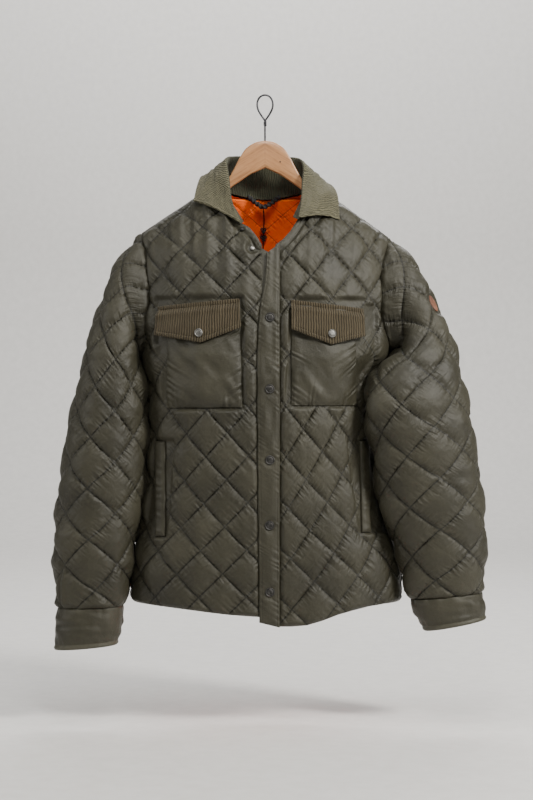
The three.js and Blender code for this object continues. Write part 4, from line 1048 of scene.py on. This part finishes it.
def draw_pocket(side):
    top_left, top_right, low_right, low_left = POCKETS[side]
    steps = steps_for(120, 1.3), steps_for(165, 1.3)
    p, q, base, n = sewn_grid([low_left, low_right], [top_left, top_right], *steps)
    left, right, low, high = edge_distances(p, q)
    seed = 91 if side == "left" else 97
    near = np.minimum(np.minimum(left, right), low)
    rise = (1 - np.exp(-left / 17)) * (1 - np.exp(-right / 17)) * (1 - np.exp(-low / 15))
    bag = 8.8 * rise * smooth(30, 84, high) * (1 + 0.1 * noise(p / 40, q / 40, seed))
    shallow = 2.0 * noise(p / 21, q / 34, seed + 1)
    shallow += 1.7 * noise((p + q) / 18, (p - q) / 55, seed + 2)
    drawn = radiating(q + 0.5 * left, left, seed + 4, 15, 1.7)
    drawn += radiating(q + 0.6 * right, right, seed + 5, 17, 1.7)
    drawn = 1.9 * drawn + 1.3 * radiating(p, low, seed + 6, 18)
    h = 4.3 + bag + shallow * smooth(3, 20, near) + drawn * smooth(14, 50, high)
    h = np.maximum(h - 0.55 * mark(near, 3.2, 0.9) - 0.9 * (1 - smooth(0, 1.6, near)), 3.0)
    outer, inner = raised(base, n, h), base + n * 2.15
    piece = cloth("pocket_" + side, "shell", outer, inner, flat_uv(p, q), [PLAIN])


def draw_flap(side):
    top_left, top_right, low_right, point, low_left = FLAPS[side]
    width = 132 if side == "left" else 116
    steps = steps_for(width, 1.0), steps_for(60, 1.0)
    p, q, base, n = sewn_grid([low_left, point, low_right], [top_left, top_right], *steps)
    distances = edge_distances(p, q)
    near, high = np.min(distances, axis=0), distances[3]
    seed = 104 if side == "left" else 108
    under = 2.35 + 5.6 * smooth(5, 17, high) + 3.4 * smooth(18, 50, high)
    waves = 0.5 * noise(p / 18, q / 20, seed) * smooth(2, 20, high)
    h = under + 2.2 + 0.9 * bulge(near / 6.6) + waves - 0.5 * mark(near, 7.1, 0.7)
    outer, inner = raised(base, n, h), raised(base, n, under)
    piece = cloth("flap_" + side, "flap_cord", outer, inner, flat_uv(p, q), [FLAP_CORD])
    s, r = flat(*FLAP_STUDS[side])[0]
    at = np.unravel_index(np.argmin(np.hypot(p - s, q - r)), p.shape)
    draw_stud("flap_stud_" + side, outer[at] + n[at] * 0.1, n[at], PEWTER, 6.7)


def draw_welt(side):
    top_left, top_right, low_right, low_left = WELTS[side]
    steps = steps_for(16, 1.0), steps_for(150, 1.3)
    p, q, base, n = sewn_grid([low_left, low_right], [top_left, top_right], *steps)
    near = np.min(edge_distances(p, q), axis=0)
    seed = 113 if side == "left" else 117
    h = 4.4 + 3.4 * bulge(np.minimum(near / 16, 0.5)) - 0.5 * mark(near, 2.6, 0.8)
    h += 0.3 * np.sin(q / 2.4 + 4 * noise(q / 15, p / 20, seed)) * smooth(1, 4, near)
    outer, inner = raised(base, n, h), base + n * 2.15
    piece = cloth("welt_" + side, "shell", outer, inner, flat_uv(p, q), [PLAIN])


def band_left(z):
    """Left edge of the front band at a height."""
    return look(BAND_EDGE[:, 0], BAND_EDGE[:, 1], z)


def draw_band():
    nu, nv = steps_for(36, 1.1), steps_for(600, 1.4)
    v, u = np.linspace(0, 1, nv)[:, None], np.linspace(0, 1, nu)[None, :]
    z_left = BAND_BOTTOM + 4 + (V_BOTTOM_Z - BAND_BOTTOM - 4) * v
    z_right = BAND_BOTTOM - 4 + (V_BOTTOM_Z + 18 - BAND_BOTTOM + 4) * v
    z = z_left * (1 - u) + z_right * u
    x = band_left(z) * (1 - u) + (BAND_RIGHT - 0.4) * u
    p, q, base, n = on_body(flat(x, z))
    left, right, low, _ = edge_distances(p, q)
    near = np.minimum(np.minimum(left, right), low)
    to_stud = [np.hypot(x - STUD_X, z - height) for height in STUD_HEIGHTS]
    puff = 2.2 * (1 - np.exp(-near / 6)) + 1.7 * noise(q / 24, p / 14, 121) * smooth(4, 14, near)
    puff *= 1 - 0.75 * (1 - smooth(6, 17, np.min(to_stud, axis=0)))
    drawn = radiating(q + 0.6 * left, left, 122, 8, 1.5)
    drawn += radiating(q - 0.6 * right, right, 123, 8, 1.5)
    slit = to_line(x, z, np.array([[13.0, -378.0], [19.0, -386.0]]))
    h = 6.2 + puff + 1.1 * drawn - 0.6 * mark(np.minimum(left, right), 4.2, 0.8)
    h += -0.9 * (1 - smooth(0, 1.2, near)) - 1.5 * mark(slit, 0, 0.9)
    outer = raised(base, n, h)
    piece = cloth("front_band", "shell", outer, base + n * 3.7, flat_uv(p, q), [PLAIN])
    for k, off in enumerate(to_stud):
        at = np.unravel_index(np.argmin(off), x.shape)
        draw_stud("stud_%d" % (k + 1), outer[at] + n[at] * 0.05, n[at], METAL, 7.5)


def draw_under_band():
    nu, nv = steps_for(40, 5), steps_for(590, 5)
    v, u = np.linspace(0, 1, nv)[:, None], np.linspace(0, 1, nu)[None, :]
    z = -852 * (1 - v) + (V_BOTTOM_Z + 14 - 20 * u) * v
    p, q, base, n = on_body(flat(BAND_LEFT * (1 - u) + (BAND_RIGHT - 1) * u + 0 * v, z))
    outer = raised(base, n, 2.0 + 0.25 * noise(p / 9, q / 14, 133))
    piece = cloth("under_band", "shell", outer, base, flat_uv(p, q), [PLAIN, LINING_PLAIN])


def draw_stud(node, at, normal, material, radius):
    """Press stud cap: rolled rim, groove and a slightly domed middle."""
    profile = [
        (0.25, 2.1), (0.5, 2.0), (0.62, 1.8), (0.68, 1.35), (0.74, 1.3), (0.8, 1.85), (0.88, 2.15),
        (0.95, 1.9), (1.0, 1.3), (1.0, 0.5), (0.96, 0.0),
    ]
    spokes = 40
    normal = normal / np.linalg.norm(normal)
    side = np.cross([0, 0, 1.0], normal)
    side = side / np.linalg.norm(side)
    up = np.cross(normal, side)
    turn = (np.arange(spokes) / spokes * 2 * np.pi)[:, None]
    spread = side * np.cos(turn) + up * np.sin(turn)
    points = [at + normal * 2.05]
    for share, lift in profile:
        points.extend(at + radius * share * spread + normal * lift)
    points.append(at)
    last = 1 + (len(profile) - 1) * spokes
    faces = [(0, 1 + k, 1 + (k + 1) % spokes) for k in range(spokes)]
    for low in range(1, last, spokes):
        faces += rings_faces(low, low + spokes, spokes)
    faces += [(last + k, len(points) - 1, last + (k + 1) % spokes) for k in range(spokes)]
    dress(solid(node + "_cap", points, faces, material, 0.9), [node])


def near_point(x, z, back=False):
    """Point of the body seen at x and z, and its normal."""
    s, q = flat(x, z, back)[0]
    at = body(np.array([[s - 1, s, s + 1]] * 3), np.array([[q - 1] * 3, [q] * 3, [q + 1] * 3]))
    return at[1, 1], normals_of(at)[1, 1]


def draw_sockets():
    for k, (x, z) in enumerate(SOCKETS):
        at, normal = near_point(x, z)
        draw_stud("socket_%d" % (k + 1), at + normal * 2.6, normal, BRIGHT if k else METAL, 3.4)


def level(points):
    """Unit vectors level with the floor."""
    flattened = points * [1, 1, 0]
    return flattened / np.linalg.norm(flattened, axis=1, keepdims=True)


def draw_collar():
    """Leaf and stand in one wall, turned over along the roll line."""
    nu, across = steps_for(520, 1.5), steps_for(130, 1.5)
    keys = np.arange(len(COLLAR))
    station = np.linspace(1, 0, nu) * keys[-1]
    rows = np.stack([look(keys, column, station) for column in COLLAR.T], -1)
    edge, roll, seam = rows[:, :3], rows[:, 3:6], rows[:, 6:]
    seam[:, 2] -= 5 * smooth(0, 25, seam[:, 1])
    out, inward = level(edge) * 0.6 + [0, 0, 0.8], level(-roll)
    path = [edge + (roll - edge) * v + out * 7 * np.sin(np.pi * v) for v in np.linspace(0, 1, 9)]
    path.append(roll + inward * 1.7 + [0, 0, 0.6])
    path.append(roll + inward * 3.4 + [0, 0, -2.0])
    foot = roll + inward * 3.2 + [0, 0, -3.0]
    path += [foot + (seam - foot) * v for v in (0.2, 0.45, 0.7, 1.0)]
    turn_row, per = 9.5, 6  # the leaf turns over between two rows of the path
    last = len(path) - 1
    fine = []
    for w in np.linspace(0, last, last * per + 1):
        k = min(int(w), last - 1)
        ends = path[max(k - 1, 0)], path[k], path[k + 1], path[min(k + 2, last)]
        fine.append(between(*ends, w - k))
    fine = np.array(fine)
    lengths = lengths_along(fine)
    turn_at = turn_row * per
    roll_at = np.array([np.interp(turn_at, np.arange(len(fine)), each) for each in lengths.T])
    own = roll_at / lengths[-1]
    mean = float(own.mean())
    share = np.linspace(0, 1, across)[:, None]
    past_roll = own + (share - mean) / (1 - mean) * (1 - own)
    q = np.where(share < mean, share / mean * own, past_roll) * lengths[-1]
    base = at_lengths(fine, lengths, q)
    n = normals_of(base)
    run = lengths_along((edge + roll) / 2)
    p = np.broadcast_to(run[None], q.shape)
    near = np.minimum(q, np.minimum(p, run[-1] - p))
    to_roll = roll_at[None] - q
    ripples = 1.1 * noise(p / 30, q / 5.5 + p / 60, 141) * smooth(8, 18, near)
    ripples += 1.4 * noise(p / 45, q / 30, 143)
    leaf = 0.7 * bulge(near / 6.4) - 0.5 * mark(near, 6.9, 0.8) + ripples * smooth(0, 10, to_roll)
    outer, inner = raised(base, n, 0.3 + np.where(to_roll > 0, leaf, 0.2)), base - n * 1.6
    # The stand rows and the collar's inside take the darker corduroy, painted shade
    corded = [COLLAR_CORD, SHADED_STAND_CORD, SHADED_STAND_CORD]
    stand_rows = np.where(share[:, 0] < mean - 0.02, 0, 2)
    piece = wall("collar_cloth", outer, inner, flat_uv(p, q), corded, rows_material=stand_rows)
    dress(piece, ["collar_leaf", "collar_stand"])
    cells = np.cross(np.diff(base, axis=0)[:, :-1], np.diff(base, axis=1)[:-1])
    area = float(np.linalg.norm(cells, axis=2).sum()) * MM * MM
    length, width = float(run[-1]) * MM, float(lengths[-1].max()) * MM
    area = min(max(area, 0.31 * length * width), length * width)


def draw_lining():
    """Quilted lining of the upper back."""
    corners = [(74, -166), (84, -215), (80, -260), (76, -300), (0, -306), (32, -167), (0, -168)]
    places = np.vstack([flat(x, z, True)[0] for x, z in corners]) - [BACK, 0]
    mirrored = places * [-1, 1]
    right, middle_low, (neck_side, neck_middle) = places[:4], places[4] * [0, 1], places[5:]
    left = mirrored[:4]
    high = np.vstack([left[0], mirrored[5], neck_middle * [0, 1], neck_side, right[0]])
    low = np.vstack([left[3], middle_low, right[3]])
    if high[0, 0] > high[-1, 0]:
        high, low, left, right = high[::-1], low[::-1], right, left
    nu, nv = steps_for(165, 1.3), steps_for(125, 1.3)
    grid = coons(low, right[::-1], high, left[::-1], nu, nv)[:, ::-1]
    p, q, base, n = on_body(grid, BACK)
    inside_out = n[nv // 2, nu // 2, 1] > 0
    n = -n if inside_out else n
    pad, pucker, a, b = quilting(p, q, QUILTS["lining"], 151, puff=2.6)
    h = 3.3 + 2.0 + pad + 0.25 * pucker + 0.5 * noise(p / 20, q / 30, 153)
    grids = [raised(base, n, h), base + n * 3.4, flat_uv(p, q, a, b)]
    if inside_out:
        grids = [each[:, ::-1] for each in grids]
    piece = cloth("lining_back", "lining", *grids, [LINING, LINING_PLAIN])


def tube(points, radius, sides=14, twist=0.0, lobes=0.0):
    """Closed tube along points; lobes pinch it into two twisted strands."""
    points = np.array(points, float)
    tangent = np.gradient(points, axis=0)
    tangent /= np.linalg.norm(tangent, axis=1, keepdims=True)
    side = np.cross(tangent[0], [0.3, 0.9, 0.31])
    side /= np.linalg.norm(side)
    turn = (np.arange(sides) / sides * 2 * np.pi)[:, None]
    verts = []
    for at, along, run in zip(points, tangent, lengths_along(points)):
        side = side - along * (side @ along)
        side /= np.linalg.norm(side)
        reach = radius * (1 - lobes * np.sin(turn - run * twist) ** 2)
        verts.extend(at + reach * (side * np.cos(turn) + np.cross(along, side) * np.sin(turn)))
    last = (len(points) - 1) * sides
    faces = []
    for k in range(0, last, sides):
        faces += [(b, c, d, a) for a, d, c, b in rings_faces(k, k + sides, sides)]
    faces.append(tuple(range(sides - 1, -1, -1)))
    faces.append(tuple(last + j for j in range(sides)))
    return verts, faces


def smooth_line(points, per):
    """Smooth line through points, with a number of steps between each two."""
    path = np.array(points, float)
    path = np.vstack([2 * path[:1] - path[1:2], path, 2 * path[-1:] - path[-2:-1]])
    out = []
    for k in range(1, len(path) - 2):
        out += [between(*path[k - 1 : k + 3], t) for t in np.arange(per) / per]
    return np.array([*out, path[-2]])


def merged(parts):
    """Several pieces of points and faces as one."""
    verts, faces = [], []
    for v, f in parts:
        start = len(verts)
        verts.extend(v)
        faces.extend([tuple(i + start for i in face) for face in f])
    return verts, faces


def inner_point(x, z, depth):
    """Point at a depth inside the back."""
    at, n = near_point(x, z, True)
    return at - n * depth


def draw_loop():
    """Twisted locker loop, and the narrow tape that runs on down with its two knots."""
    loop = smooth_line([
        (-29, 32.2, -163.4), (-14, 29, -176), (-3, 27.5, -182), (10, 29, -176), (25, 32.8, -164),
    ], 22)
    path = [loop[len(loop) // 2] + [0, 1.0, 0]]
    for z in (-196, -206, -220, -234, -248, -262, -276):
        path.append(inner_point(-2.5 + (z + 196) * 0.03, z, 9.6))
    parts = [tube(loop, 4.5, 16, 0.42, 0.45), tube(smooth_line(path, 12), 1.15, 10, 0.9, 0.3)]
    dress(solid("locker_loop_cord", *merged(parts), TAPE, 0.8), ["locker_loop"])
    turn = np.linspace(0, 2 * np.pi, 40)
    knots = []
    for z, reach, salt in ((-214, 4.6, 1), (-227, 5.2, 5)):
        x_z = np.sin(turn) + 2 * np.sin(2 * turn), np.cos(turn) - 2 * np.cos(2 * turn)
        knot = np.stack([x_z[0], 0.55 * np.sin(3 * turn + salt), x_z[1]], -1)
        knots.append(tube(inner_point(-3.5, z, 11.5) + knot * reach / 3, 1.2, 9))
    solid("tape_knots", *merged(knots), TAPE, 0.8)


# Upper and lower edge of the bar beside its middle: distance from the middle, height
HANGER_TOP = np.array([
    [0, -75], [8, -75.6], [17, -78], [32, -88], [42, -103], [57, -131], [71, -153], [84, -162],
], float)
HANGER_LOW = np.array([[0, -120], [25, -131], [57, -153], [84, -176]], float)
BAR_ENDS = {189.2: 0.9, 189.8: 0.72, 190.0: 0.5}


def draw_hanger():
    """Bar through sections from one end to the other."""
    spokes = 32
    xs = np.concatenate([np.linspace(0, 84, 64), np.linspace(86, 188, 44), list(BAR_ENDS)])
    turn = np.arange(spokes) / spokes * 2 * np.pi
    verts, faces = [], []
    for x in np.concatenate([-xs[:0:-1], xs]):
        r = abs(x)
        if r <= 84:
            top = float(look(HANGER_TOP[:, 0], HANGER_TOP[:, 1], r))
            low = float(np.interp(r, HANGER_LOW[:, 0], HANGER_LOW[:, 1]))
        else:
            rail = float(ridge(np.array(x))) - 5.9
            blend = smooth(84, 100, r)
            top = rail * blend + (-162 - (r - 84) * 0.6) * (1 - blend)
            low = (rail - 22 + (r - 100) * 0.06) * blend + (-176 - (r - 84) * 0.8) * (1 - blend)
        tight = BAR_ENDS.get(round(r, 1), 1.0)
        half = (top - low) / 2 * tight
        rounding = max(min(2 / 5 * 14 / max(half, 14), 0.4), 0.22)
        y = 6 * tight * power(np.cos(turn), 0.4)
        z = (top + low) / 2 + half * power(np.sin(turn), rounding)
        verts.extend(np.stack([np.full(spokes, x), y, z], -1))
    last = len(verts) - spokes
    for k in range(0, last, spokes):
        faces += rings_faces(k, k + spokes, spokes)
    faces.append(tuple(range(spokes)))
    faces.append(tuple(last + j for j in range(spokes - 1, -1, -1)))
    dress(solid("hanger_wood", verts, faces, WOOD, 0.7), ["hanger_bar"])


def draw_hook():
    """Wire hook: a narrow eye, a stem and the wire's end wound round it."""
    wire = 1.6
    turn = np.linspace(0, 2 * np.pi, 72)
    half = np.minimum(turn, 2 * np.pi - turn)
    shoulder_drop, side_drop = 0.42 - 0.42 * np.cos(half), 0.42 + 0.58 * (half / (np.pi / 2) - 1)
    drop = np.where(half < np.pi / 2, shoulder_drop, side_drop)
    eye = np.stack([14.5 * np.sin(turn) * (1 - 0.25 * drop), 0 * turn, 1.6 - drop * 43], -1)
    eye = np.vstack([eye[36:-1], eye[:37]])
    eye[:, 1] += np.linspace(-0.9, 0.9, len(eye))
    stem = [(0, 0, z) for z in np.linspace(-40.5, -75.4, 24)]
    turn = np.linspace(0, 2 * np.pi * 3.2, 70)
    wrap = np.stack([2.2 * np.cos(turn), 2.2 * np.sin(turn), -42.5 - turn * 0.36], -1)
    parts = [tube(eye, wire), tube(stem, wire), tube(wrap, 0.8, 8)]
    dress(solid("hanger_hook_wire", *merged(parts), STEEL, 0.9), ["hanger_hook"])


for s in ("left", "right"):
    draw_front(s)
draw_back()
for s in ("left", "right"):
    draw_sleeve(s)
    draw_cuff(s)
for s in ("left", "right"):
    draw_pocket(s)
    draw_flap(s)
    draw_welt(s)
draw_band()
draw_under_band()
draw_sockets()
draw_collar()
draw_lining()
draw_loop()
draw_hanger()
draw_hook()


def studio():
    """Pale floor running up into a backdrop."""
    floor_z, back_y, bend = -1.04, 4.6, 1.2
    profile = [(-12.0, floor_z), (back_y - bend, floor_z)]
    for k in range(1, 13):
        turn = k / 12 * np.pi / 2
        profile.append((back_y - bend + bend * np.sin(turn), floor_z + bend * (1 - np.cos(turn))))
    profile.append((back_y, 4.0))
    points = [(x, y, z) for x in (-12.0, 12.0) for y, z in profile]
    count = len(profile)
    faces = [(k, count + k, count + k + 1, k + 1) for k in range(count - 1)]
    mesh = bpy.data.meshes.new("backdrop")
    mesh.from_pydata(points, [], faces)
    mesh.polygons.foreach_set("use_smooth", np.ones(len(mesh.polygons), bool))
    m = Nodes("pale_paper")
    tones = [(0.3, (0.60, 0.585, 0.56)), (0.7, (0.64, 0.625, 0.60))]
    m.set(Base_Color=m.ramp(m.noise(m.spot(), 40.0, 2.0), tones), Roughness=0.9)
    mesh.materials.append(m.material)
    backdrop = bpy.data.objects.new("backdrop", mesh)
    bpy.context.scene.collection.objects.link(backdrop)


def area_light(name, at, aim, size, energy, colour):
    """Soft light that looks at a point."""
    light = bpy.data.lights.new(name, "AREA")
    light.shape = "RECTANGLE"
    light.size, light.size_y = size
    light.energy = energy
    light.color = colour
    lamp = bpy.data.objects.new(name, light)
    lamp.location = at
    lamp.rotation_euler = (Vector(aim) - Vector(at)).to_track_quat("-Z", "Y").to_euler()
    bpy.context.scene.collection.objects.link(lamp)


CENTRE = (0.0, 0.0, -0.5)
WARM, WHITE = (1.0, 0.98, 0.94), (1, 1, 1)
LIGHTS = [
    ("key_right", (2.1, -1.75, 1.2), CENTRE, (0.5, 0.7), 142, WARM),
    ("side_left", (-2.3, -0.7, 0.4), CENTRE, (0.5, 1.0), 27, WARM),
    ("side_right", (2.3, -0.9, -0.1), CENTRE, (0.6, 1.4), 12, WHITE),
    ("top", (0.0, -0.5, 1.7), (0.0, 0.05, -0.5), (1.2, 1.0), 22, WHITE),
    ("rear", (0.3, 1.8, 1.0), CENTRE, (1.6, 1.0), 34, WHITE),
    ("neck", (0.05, -1.3, 0.75), (0.0, 0.05, -0.22), (0.3, 0.3), 13, WARM),
    ("wall", (0.0, 2.9, 2.6), (0.0, 4.6, -0.6), (3.5, 0.8), 150, WHITE),
]
studio()
for light in LIGHTS:
    area_light(*light)
world = bpy.data.worlds.new("studio")
world.use_nodes = True
sky = world.node_tree.nodes["Background"].inputs
sky[0].default_value = (0.8, 0.82, 0.85, 1)
sky[1].default_value = 0.13
bpy.context.scene.world = world

camera_data = bpy.data.cameras.new("camera")
camera_data.sensor_fit = "VERTICAL"
camera_data.angle_y = np.radians(25.06)
camera = bpy.data.objects.new("camera", camera_data)
camera.location = (0.0025, -3.0, -0.5067)
camera.rotation_euler = (np.pi / 2, 0, 0)
bpy.context.scene.collection.objects.link(camera)
bpy.context.scene.camera = camera
